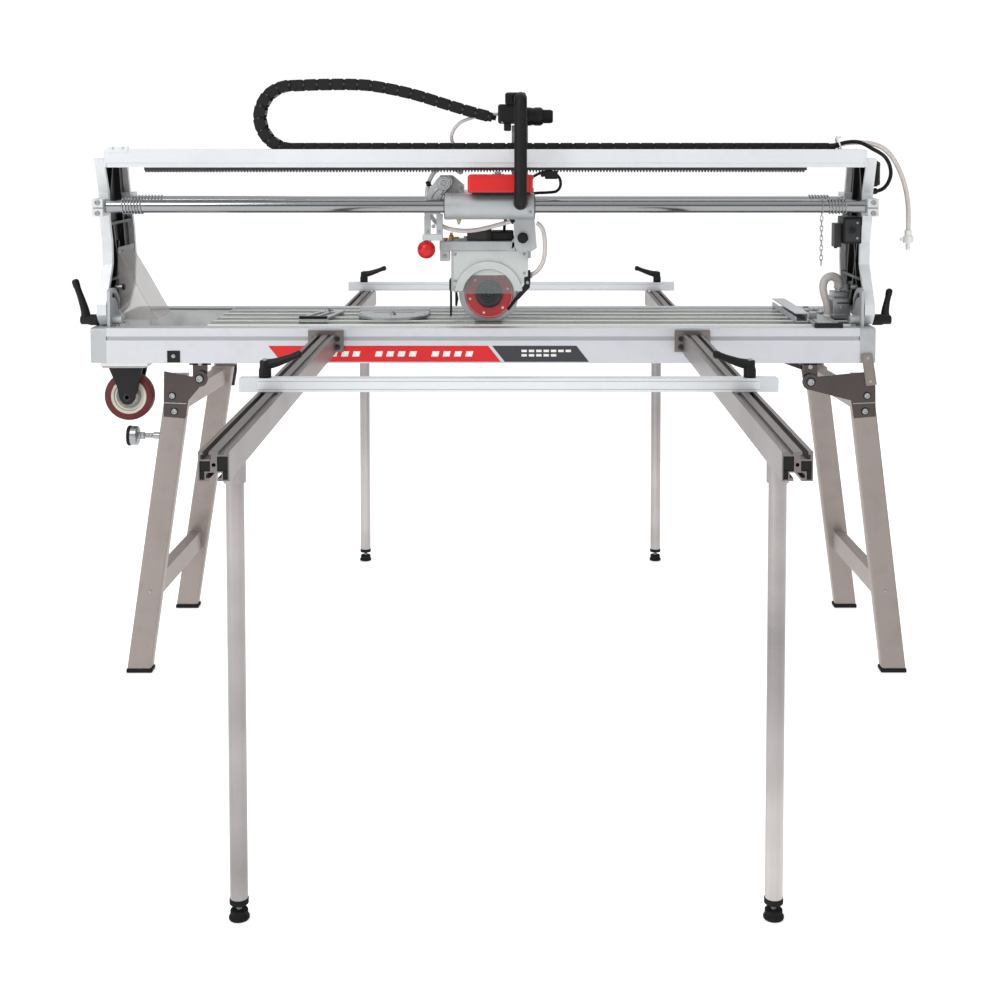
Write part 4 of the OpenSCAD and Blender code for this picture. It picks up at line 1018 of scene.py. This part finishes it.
def control_boxes():
    piece = Part("control_box")
    right = BRIDGE_X + IN_FACE
    piece.box((743, -150, 868), (right - 0.3, -92, 924), BLACK_PLASTIC, 3, 3)
    piece.box((747, -151.5, 873), (right - 4, -149.5, 919), DARK_GREY, 0.8)
    piece.rod((762, -153.5, 896), (762, -151, 896), 10, DARK_STEEL, 0.6)
    piece.rod((762, -157, 896), (762, -153, 896), 6.5, BLACK_PLASTIC, 1.2)
    for z in (880, 912):
        piece.screw(772, -151.5, z, FRONT, 2.4, 1.4, STEEL)
    piece.box((728, -136, 860), (743.4, -104, 910), DARK_GREY, 2)
    out = BRIDGE_X + UPRIGHT_OUT + 1
    piece.box((out, -112, 985), (824, -48, 1040), BLACK_PLASTIC, 4, 3)
    piece.box((822, -109, 988), (828, -51, 1037), DARK_GREY, 2, 2)
    for y in (-103, -57):
        for z in (994, 1031):
            piece.screw(828, y, z, RIGHT, 2.6, 1.2, STEEL)
    piece.rod((816, -80, 974), (828, -80, 975), 7, BLACK_PLASTIC, 1, 6)
    piece.box((out, -92, 968), (818, -68, 986), BLACK_PLASTIC, 2)
    piece.done("bridge", "control_boxes")
    lever = Part("water_valve_lever")
    lever.rod((730, -120, 884), (742.6, -120, 884), 5, STEEL)
    route = smooth_route([(735, -120, 884), (735, -121, 874), (734, -122, 864), (733, -122, 857)])
    radii = [4 + 0.1 * min(k, 6) for k in range(15)] + [4.4, 4.0, 3.4, 2.6]
    lever.sweep(route, radii, BLACK_PLASTIC)
    lever.done("valve", "valve_lever")


def tilt_lever(name, body, node, side, lean):
    piece = Part(name)
    x0 = mirrored(UPRIGHT_OUT + 1.3, side)
    x1 = mirrored(UPRIGHT_OUT + 39.5, side)
    piece.turned([(6.2, 0), (11, 0), (11, 0.5), (9.6, 0.62), (9.6, 0.95), (8, 1), (0, 1)],
                 (x0, TILT_Y, TILT_Z), (x1, TILT_Y, TILT_Z), BLACK_PLASTIC)
    for dy, dz in spokes(16, 10.7):
        y, z = TILT_Y + dy, TILT_Z + dz
        piece.rod((x0 + side, y, z), (x0 + side * 18, y, z), 0.9, BLACK_PLASTIC, 0.3, 8)
    a = math.radians(lean)
    line = []
    for out, up in ((28, 0), (31, 20), (38, 44), (47, 70), (51, 84)):
        line.append((mirrored(UPRIGHT_OUT + out, side), TILT_Y - up * math.sin(a),
                     TILT_Z + up * math.cos(a)))
    lever_arm(piece, line, 10.5, 3.6, (6.4, 4), 0.85)
    piece.done(body, node)


bridge_details()
springs()
chain()
control_boxes()
tilt_lever("tilt_lever_arm_left", "left_tilt_lock", "tilt_lever_left", -1, 0)
tilt_lever("tilt_lever_arm_right", "right_tilt_lock", "tilt_lever_right", 1, -48)


# ---- carriage ----

def carriage_details():
    piece = Part("carriage_fittings")
    for y in (FRONT_BAR_Y, REAR_BAR_Y):
        for x, way in ((-78, -1), (104, 1)):
            piece.ring((x - 0.6 * way, y, BAR_Z), (x + 1.4 * way, y, BAR_Z), 26.4, 14, DARK_GREY, 0.5)
            piece.ring((x + 1.2 * way, y, BAR_Z), (x + 2.2 * way, y, BAR_Z), 18, 13.9, RUBBER, 0.4)
        for x in (-76.5, 90):
            piece.ring((x, y, BAR_Z), (x + 12, y, BAR_Z), 27.4, 26.6, CAST, 0.3, 64)
    for x, z in ((92, 958), (96, 937)):
        piece.screw(x, -205, z, FRONT, 3, 3, STEEL)
    piece.rod((-50, FRONT_BAR_Y, 925), (-50, FRONT_BAR_Y, 918), 5, BRASS, 0.5, 6)
    piece.turned([(3, 0), (3, 0.4), (1.8, 0.5), (2.6, 0.7), (1.2, 1), (0, 1)], (-50, FRONT_BAR_Y, 919),
                 (-50, FRONT_BAR_Y, 910), BRASS, 16)
    for x in (-60, 84):
        for y in (-140, -20):
            piece.screw(x, y, 968, UP, 5, 4, STEEL)
    for p in ((-56, 976), (-48, 984)):
        piece.screw(p[0], -145, p[1], FRONT, 3.4, 2.6, STEEL)
    for z in (1084, 1098):
        piece.screw(75, -116, z, FRONT, 3.6, 2.4, STEEL)
    piece.screw(HINGE[0], -158, HINGE[1], FRONT, 9.5, 4.5, BLACK_PLASTIC, socket=False)
    piece.ring((HINGE[0], -158.2, HINGE[1]), (HINGE[0], -151, HINGE[1]), 11, 7.4, BLACK_PLASTIC)
    piece.done("carriage")


def feed_motor():
    piece = Part("feed_motor_housing")
    piece.box((-31, -222, 975.5), (93, -182, 1013), RED, 6, 4)
    piece.box((90, -221, 976), (101, -183, 1012.5), RED, 3, 3)
    piece.box((-22, -220, 973.5), (96, -184, 979), BLACK_PLASTIC, 1.5)
    piece.box((6, -183, 975), (78, -152, 989), DARK_GREY, 2)
    piece.rod((30, -183, 1005.5), (30, -160.4, 1005.5), 3.9, STEEL)
    for z in (982, 1007):
        for y in (-216, -188):
            piece.screw(101, y, z, RIGHT, 3, 2, STEEL)
    for k in range(6):
        piece.box((-20 + k * 5, -205, 1012.6), (-17.5 + k * 5, -190, 1013.4), BLACK_PLASTIC, 0.3, 1)
    piece.done("carriage", "feed_motor")


def switch_head():
    piece = Part("switch_housing")
    piece.box((46, -173.6, 1154), (87, -112, 1180), BLACK_PLASTIC, 4, 3)
    piece.box((44.6, -176, 1156), (66, -171, 1178), BLACK_PLASTIC, 2)
    piece.box((30, -172, 1116), (87, -100, 1156), BLACK_PLASTIC, 5, 3)
    piece.box((36, -173.4, 1122), (80, -171.6, 1150), BLACK_PLASTIC, 0.8)
    piece.box((42, -168, 1101), (57, -124, 1118), BLACK_PLASTIC, 2.5)
    piece.turned([(15, 0), (19, 0.06), (19, 0.3), (18, 0.36), (18, 0.5), (19, 0.55), (19, 0.86), (15, 1),
                  (0, 1)], (86, -140, 1131), (123, -140, 1131), BLACK_PLASTIC)
    piece.turned([(11, 0), (14, 0.1), (14, 0.8), (11.5, 1), (0, 1)], (121, -140, 1131), (143, -140, 1131),
                 RUBBER)
    piece.screw(38.5, -172.6, 1118.5, FRONT, 2, 1.2, STEEL)
    piece.done("carriage", "switch_head")
    button = Part("start_button_cap")
    button.box((49.3, -178.9, 1159.3), (60.7, -175.4, 1174.7), RUBBER, 1.6, 3)
    button.box((49.8, -176, 1160), (60.2, -174.3, 1174), DARK_GREY, 0.5)
    button.done("start_button", "rocker")


def handle():
    piece = Part("pull_handle")
    x, y, bend_r = 76, -262, 16
    route = [(x, -176, 1166), (x, -200, 1166), (x, -225, 1166)]
    route += [(x, b, a) for b, a in arc(y + bend_r, 1150, bend_r, 90, 180, 8)]
    route += [(x, y, 1120 - k * 24) for k in range(6)]
    route += [(x, b, a) for b, a in arc(y + bend_r, 972, bend_r, 180, 270, 8)]
    route += [(x, -230, 956), (x, -206, 956)]
    piece.sweep(route, 12.8, BLACK_PLASTIC, 28)
    piece.turned([(12, 0), (14.4, 0.2), (14.4, 0.8), (12, 1), (0, 1)], (x, -226, 956), (x, -205.4, 956),
                 BLACK_PLASTIC)
    piece.done("carriage", "handle")


carriage_details()
feed_motor()
switch_head()
handle()


# ---- saw head ----

def plunge_arm():
    piece = Part("plunge_link")
    y0, y1 = -162, -152.5
    hook = [(-88, 1008), (-78, 1011), (-69, 1008), (-64, 1000), (-64, 992), (-68, 986), (-84, 976),
            (-94, 962), (-94, 948), (-90, 932), (-84, 930), (-84, 926), (-97, 926), (-97, 930), (-109, 930),
            (-109, 926), (-121, 926), (-122, 934), (-120, 962), (-112, 982), (-104, 992), (-96, 1002)]
    piece.prism(hook, "Y", y0, y1, CAST, 1)
    piece.prism(arc(-82, 994, 15.5, 0, 360, 40)[:-1], "Y", y0 - 1.5, y1, STEEL, 1.6, 3)
    for rib, deep, r in (([(-92, 984), (-104, 970), (-111, 950), (-113, 932)], 1.6, 2.6),
                         ([(-72, 984), (-84, 970), (-92, 952), (-92, 936)], 1.4, 2.2)):
        piece.sweep([(x, y0 + deep, z) for x, z in smooth_outline(rib)], r, STEEL, 12)
    for x in (-122, -97):
        piece.box((x, y0, 876), (x + 13, y1, 927), CAST, 1)
    piece.box((-126, y0 - 1, 876), (-84, y1 + 1, 889), GREY_CASE, 2)
    piece.ring((-82, y0 - 3.2, 994), (-82, y0, 994), 10, 6.4, CAST)
    piece.screw(-82, y0 - 1, 994, FRONT, 6, 3, STEEL)
    for x in (-115.5, -90.5):
        piece.screw(x, y0, 894, FRONT, 3.6, 2.4, STEEL)
    piece.rod((-103, y0 - 2, 905), (-103, y1 + 1, 905), 4, STEEL)
    piece.rod((-111, -157, 876.5), (-116, -157, 868), 4.5, STEEL)
    piece.ball((-118, -157, 857), 18.8, RED, 40)
    piece.done("plunge", "plunge_arm")


def head_unit():
    piece = Part("head_casting")
    piece.box((-92, -134, 853), (66, -26, 873), CAST, 2.5, 3)
    lug = [(56, 853.5), (72, 866), (90, 871), (93, 881), (88, 892), (76, 893), (58, 874)]
    piece.prism(lug, "Y", -134, -26, CAST, 1.5)
    piece.rod((HINGE[0], -157.9, HINGE[1]), (HINGE[0], -9, HINGE[1]), 6.9, STEEL)
    piece.rod((HINGE[0], -161, HINGE[1]), (HINGE[0], -158, HINGE[1]), 7.5, BLACK_PLASTIC)
    piece.box((-35, -124, 873), (9, -60, 893), DARK_GREY, 2)
    piece.box((14, -124, 873), (62, -60, 892), BLACK_PLASTIC, 3)
    piece.box((8, -130, 872), (16, -118, 902), BLACK_PLASTIC, 1.5)
    piece.rod((-68, -122, 873), (-68, -122, 885), 5, BRASS, 0.6, 6)
    piece.rod((-68, -122, 884), (-68, -122, 890), 3, BRASS)
    piece.rod((-80, -122, 873), (-80, -122, 879), 4, BRASS, 0.6, 6)
    piece.rod((-70, -122, 879), (-52, -122, 879), 2.4, BRASS)
    piece.box((-91, -132, 831), (-71, -112, 854), CAST, 1.5)
    piece.screw(-81, -132, 841, FRONT, 4, 2.5, STEEL)
    piece.box((78, -120, 836), (98, -80, 853), CAST, 2)
    for x in (-40, 0, 40):
        piece.screw(x, -40, 873, UP, 5, 4, STEEL)
    fins = [(0, 0), (40, 0), (45, 0.01), (45, 0.14)]
    for k in range(14):
        share = 0.16 + k * 0.048
        fins += [(46.6, share), (46.6, share + 0.02), (43, share + 0.022), (43, share + 0.046)]
    fins += [(46.8, 0.85), (46.8, 0.97), (43, 1), (0, 1)]
    piece.turned(fins, (10, -64, 806.5), (10, 118, 806.5), GREY_PAINT, 56)
    piece.box((-18, -20, 846), (38, 40, 852.9), GREY_PAINT, 3)
    for k in range(5):
        piece.ring((10, 117.6, 806.5), (10, 118.2, 806.5), 36 - k * 6, 33 - k * 6, DARK_GREY, 0.2)
    piece.done("head", "head_body")


def guard():
    cx, cz = BLADE[0], BLADE[2]
    piece = Part("blade_guard")
    top = [(-68, 768), (-68, 849), (-65, 853), (89, 853), (92, 850), (92, 796)]
    window_edge = arc(cx, cz, 53, 8.7, 50.7, 8) + arc(cx, cz, 53, 129.3, 171.3, 8)
    piece.prism(top + window_edge, "Y", -128, -124, GREY_CASE, 0.8)
    chamber = arc(cx, cz, 68, 17.2, 173.2, 28)
    piece.prism(top + chamber, "Y", -124.05, -84, GREY_CASE, 0)
    piece.prism(top + [(62, 768)], "Y", -84, -64, GREY_CASE, 1)
    rim = arc(cx, cz, 71, 6.5, 173.5, 32) + arc(cx, cz, 54, 171.5, 8.5, 32)
    piece.prism(rim, "Y", -134, -128, GREY_CASE, 1.6, 3)
    lip = arc(cx, cz, 57.5, 9, 171, 32) + arc(cx, cz, 53.4, 171, 9, 32)
    piece.prism(lip, "Y", -130.5, -124, CAST, 0.5)
    piece.prism([(-68, 853), (-64, 853), (-64, 768), (-68, 768)], "Y", -129, -128, CAST, 0.4)
    piece.box((-71, -126, 714), (-68, -84, 790), RUBBER, 0.6)
    piece.box((-72.4, -127, 770), (-67, -84, 792), BLACK, 0.8)
    piece.prism([(-60, 768), (-56, 769), (-53, 752), (-56, 736), (-60, 738)], "Y", -128.6, -124, RUBBER,
                0.6)
    piece.box((-62, -131, 766), (-52, -127.6, 778), STEEL, 0.6)
    piece.screw(-57, -131, 772, FRONT, 3, 2, STEEL)
    strip = [(92, 812), (97, 812), (97, 784), (52, 727), (47, 731), (90, 786), (92, 796)]
    piece.prism(strip, "Y", -128, -124, RUBBER, 0.8)
    piece.prism([(84, 797), (96, 800), (96, 776), (72, 750), (66, 756), (84, 782)], "Y", -130, -127.8,
                BLACK, 0.6)
    piece.screw(91, -130, 786, FRONT, 3.4, 2.2, STEEL)
    for x, z in ((-60, 845), (84, 845), (84, 806), (-60, 790)):
        piece.screw(x, -128, z, FRONT, 3, 2, STEEL)
    piece.ring((93, -113.6, 799.2), (99, -115.5, 801), 6.6, 4.6, STEEL)
    piece.done("head", "guard")
    clear = Part("guard_window_pane")
    pane = arc(cx, cz, 52.9, 3.2, 50.6, 12) + arc(cx, cz, 52.9, 129.4, 176.8, 12)
    clear.prism(pane, "Y", -128, -126.4, WINDOW, 0.3, 1)
    clear.done("head", "guard_window")


def blade():
    cx, cy, cz = BLADE
    piece = Part("diamond_blade")
    rim = [(56, 0), (62.2, 0.0), (62.5, 0.2), (62.5, 0.8), (62.2, 1), (56, 1), (56, 0)]
    piece.tube_profile(rim, (cx, cy - 0.8, cz), (cx, cy + 0.8, cz), STEEL, 96)
    piece.ring((cx, cy - 0.6, cz), (cx, cy + 0.6, cz), 57, 11, STEEL, 0.1, 96)
    piece.ring((cx, cy - 1.2, cz), (cx, cy - 0.5, cz), 51, 12, LABEL, 0.1, 96)
    piece.ring((cx, cy - 1.3, cz), (cx, cy - 1.1, cz), 49, 48.4, WHITE, 0.02, 96)
    for k in range(6):
        a = math.radians(k * 60 + 15)
        spot = (cx + 41 * math.cos(a), cz + 41 * math.sin(a))
        piece.rod((spot[0], cy - 1.35, spot[1]), (spot[0], cy - 1.1, spot[1]), 2.6, WHITE, 0.05, 20)
    piece.turned([(12, 0), (28.5, 0), (28.5, 0.75), (24, 1), (12, 1)], (cx, cy - 1.2, cz),
                 (cx, cy - 8.6, cz), DARK_STEEL)
    piece.ring((cx, cy - 9, cz), (cx, cy - 8, cz), 18, 12, DARK_STEEL)
    piece.rod((cx, cy - 9, cz), (cx, cy - 15, cz), 13, DARK_STEEL, 1, 6)
    piece.ring((cx, cy - 14.6, cz), (cx, cy - 15.4, cz), 7, 4, BLACK, 0.2)
    piece.rod((cx, cy + 0.8, cz), (cx, cy + 8, cz), 28.5, DARK_STEEL, 1)
    piece.rod((cx, cy + 8, cz), (cx, -64.5, cz), 12, STEEL)
    piece.done("blade", "blade")


plunge_arm()
head_unit()
guard()
blade()


# ---- gauges on the table ----

def knob(piece, x, y, z):
    piece.rod((x, y, z - 2), (x, y, z + 3), 6.5, STEEL, 0.5, 6)
    piece.rod((x, y, z + 3), (x, y, z + 6), 3.4, STEEL)


def mitre_gauge():
    piece = Part("mitre_plate")
    z0, z1 = SLAT_TOP + 0.3, SLAT_TOP + 6.3
    outline = arc(-197, -22, 75, 180, 360, 48) + [(-122, 36), (-272, 36)]
    piece.prism(outline, "Z", z0, z1, CAST, 0.8)
    for k in range(19):
        a = math.radians(180 + k * 10)
        size = 9 if k % 3 == 0 else 5
        near, far = 73 - size, 73
        start = (-197 + near * math.cos(a), -22 + near * math.sin(a), z1)
        end = (-197 + far * math.cos(a), -22 + far * math.sin(a), z1)
        piece.rod(start, end, 0.45, BLACK, 0.1, 6)
    piece.box((-242, 1, z1 - 0.4), (-152, 7, z1 + 0.2), BLACK, 0.1, 1)
    piece.box((-274, 30, z1 - 2), (-120, 38, z1 + 5), ANODISED, 1)
    piece.rod((-197, -40, 697), (-197, -40, z1), 3.4, STEEL)
    knob(piece, -197, -40, z1 + 2)
    piece.done("gauge_plate", "mitre_gauge")
    stop = Part("stop_plate_body")
    stop.prism([(-392, -94), (-330, -94), (-310, 44), (-362, 44)], "Z", z0, z1, CAST, 0.8)
    for shift in (0, 22):
        slot = [(-378 + shift, -72), (-366 + shift, -74), (-346 + shift, 4), (-358 + shift, 6)]
        stop.prism(slot, "Z", z1 - 0.4, z1 + 0.15, BLACK, 0.1, 1)
    for x, y in ((-361, -78), (-337, 34)):
        stop.screw(x, y, z1, UP, 4, 2.4, STEEL)
    stop.box((-391, -94.6, z1 - 3), (-331, -84, z1 + 3), BLACK, 1.2)
    stop.rod((-344, 25, 697), (-344, 25, z1), 3.4, STEEL)
    knob(stop, -344, 25, z1 + 2)
    stop.done("stop_plate", "stop_slider")


def fence():
    piece = Part("rip_fence")
    z = SLAT_TOP + 0.2
    channel = [(650, z), (678, z), (678, z + 20), (650, z + 20), (650, z + 17.5), (675.4, z + 17.5),
               (675.4, z + 2.6), (652.6, z + 2.6), (652.6, z + 12), (650, z + 12)]
    piece.prism(channel, "Y", -128, 160, ANODISED, 0.4, 1)
    piece.box((678, -196, z), (731, 96, z + 5.8), CAST, 1)
    piece.box((682, -190, z + 5.6), (686, 90, z + 6.4), DARK_STEEL, 0.2, 1)
    for k in range(27):
        size = 10 if k % 5 == 0 else 6
        piece.box((726 - size, -184 + k * 10, z + 5.6), (726, -183.2 + k * 10, z + 6), BLACK, 0.05, 1)
    piece.box((676, -209, 700.2), (733, -196, 710), BLACK_PLASTIC, 1.5)
    for y in (-96, -40):
        piece.box((682, y - 9, z + 5.6), (700, y + 9, z + 17), STEEL, 1.5)
        piece.rod((691, y, z + 16), (691, y, z + 20), 6, WHITE, 0.6, 6)
        piece.rod((691, y, z + 19), (691, y, z + 24), 3.2, STEEL)
        piece.rod((678, y, z + 11), (683, y, z + 11), 4, STEEL)
    rim = arc(700, 20, 52, -68, 53.4, 30)
    inner = arc(700, 20, 30, 52, -52, 24)
    quadrant = [(min(x, 731), y) for x, y in rim if x > 682] + [(max(x, 682), y) for x, y in inner]
    piece.prism(quadrant, "Z", z + 5.8, z + 9.8, CAST, 0.5)
    for y in (-20, 62):
        piece.screw(706, y, z + 9.8, UP, 4, 3, STEEL)
    piece.done("fence_guide", "fence")


mitre_gauge()
fence()


# ---- pivots ----

def pivot_details():
    piece = Part("pivot_fittings")
    for side in (-1, 1):
        for y in (-166, -120):
            piece.screw(mirrored(760, side), y, 700, UP, 5, 4, STEEL)
        for k in range(10):
            a = math.radians(k * 5 + 88)
            y, z = TILT_Y + 60 * math.cos(a), TILT_Z + 60 * math.sin(a)
            if y > TILT_Y - 22:
                face = mirrored(769.9, side)
                piece.box((face, y - 0.4, z - 2.5), (face + 0.3 * side, y + 0.4, z + 2.5), WHITE, 0.02, 1)
    for x, z in (LEFT_PIVOT, RIGHT_PIVOT):
        for way in (-1, 1):
            for dz in (-2, 20):
                piece.screw(x, way * 203, z + 10 + dz, (0, way, 0), 4, 1.2, STEEL, socket=False)
    piece.done("frame")


pivot_details()


# ---- studio ----

def studio():
    floor = bpy.data.meshes.new("studio_floor")
    reach, level = 90, -0.001
    corners = [(-reach, -reach, level), (reach, -reach, level), (reach, reach, level),
               (-reach, reach, level)]
    floor.from_pydata(corners, [], [(0, 1, 2, 3)])
    ground = bpy.data.objects.new("studio_floor", floor)
    bpy.context.collection.objects.link(ground)
    pale = bpy.data.materials.new("floor_pale")
    pale.use_nodes = True
    shader = pale.node_tree.nodes["Principled BSDF"]
    shader.inputs["Base Color"].default_value = (0.92, 0.92, 0.92, 1)
    shader.inputs["Roughness"].default_value = 0.9
    shader.inputs["Emission Color"].default_value = (1, 1, 1, 1)
    shader.inputs["Emission Strength"].default_value = 0.5
    floor.materials.append(pale)
    world = bpy.data.worlds.new("studio")
    bpy.context.scene.world = world
    world.use_nodes = True
    nodes, links = world.node_tree.nodes, world.node_tree.links
    background = nodes["Background"]
    background.inputs["Strength"].default_value = 0.62
    # bright above, in front and behind, with a dim band higher up and dim sides for the metal to reflect
    way = nodes.new("ShaderNodeSeparateXYZ")
    links.new(nodes.new("ShaderNodeTexCoord").outputs["Generated"], way.inputs["Vector"])
    height = nodes.new("ShaderNodeValToRGB")
    stops = [(0.0, 1.66), (0.11, 1.66), (0.17, 0.2), (0.36, 0.3), (0.5, 1.2), (1.0, 1.5)]
    while len(height.color_ramp.elements) < len(stops):
        height.color_ramp.elements.new(0.5)
    for element, (spot, value) in zip(height.color_ramp.elements, stops):
        element.position = spot
        element.color = (value, value, value, 1)
    links.new(way.outputs["Z"], height.inputs["Fac"])
    sideways = nodes.new("ShaderNodeMath")
    sideways.operation = "ABSOLUTE"
    links.new(way.outputs["X"], sideways.inputs[0])
    dim = remap(nodes, links, sideways.outputs["Value"], 1.0, 0.12, 0.5, 0.9)
    both = nodes.new("ShaderNodeVectorMath")
    both.operation = "SCALE"
    links.new(height.outputs["Color"], both.inputs[0])
    links.new(dim, both.inputs["Scale"])
    links.new(both.outputs["Vector"], background.inputs["Color"])
    lamps = [("key", (-2.0, -2.6, 3.6), 55, 1.6), ("fill", (3.0, -2.4, 2.6), 16, 2.2),
             ("back", (0.4, 3.6, 3.4), 30, 3.0), ("strip", (-3.4, -3.0, 1.2), 26, 0.7)]
    aim = Vector((0, 0.3, 0.75))
    for name, spot, power, size in lamps:
        data = bpy.data.lights.new(name, "AREA")
        data.energy = power
        data.size = size
        lamp = bpy.data.objects.new(name, data)
        bpy.context.collection.objects.link(lamp)
        lamp.location = spot
        lamp.rotation_euler = (aim - Vector(spot)).to_track_quat("-Z", "Y").to_euler()


studio()
bpy.context.scene.view_settings.view_transform = "Standard"
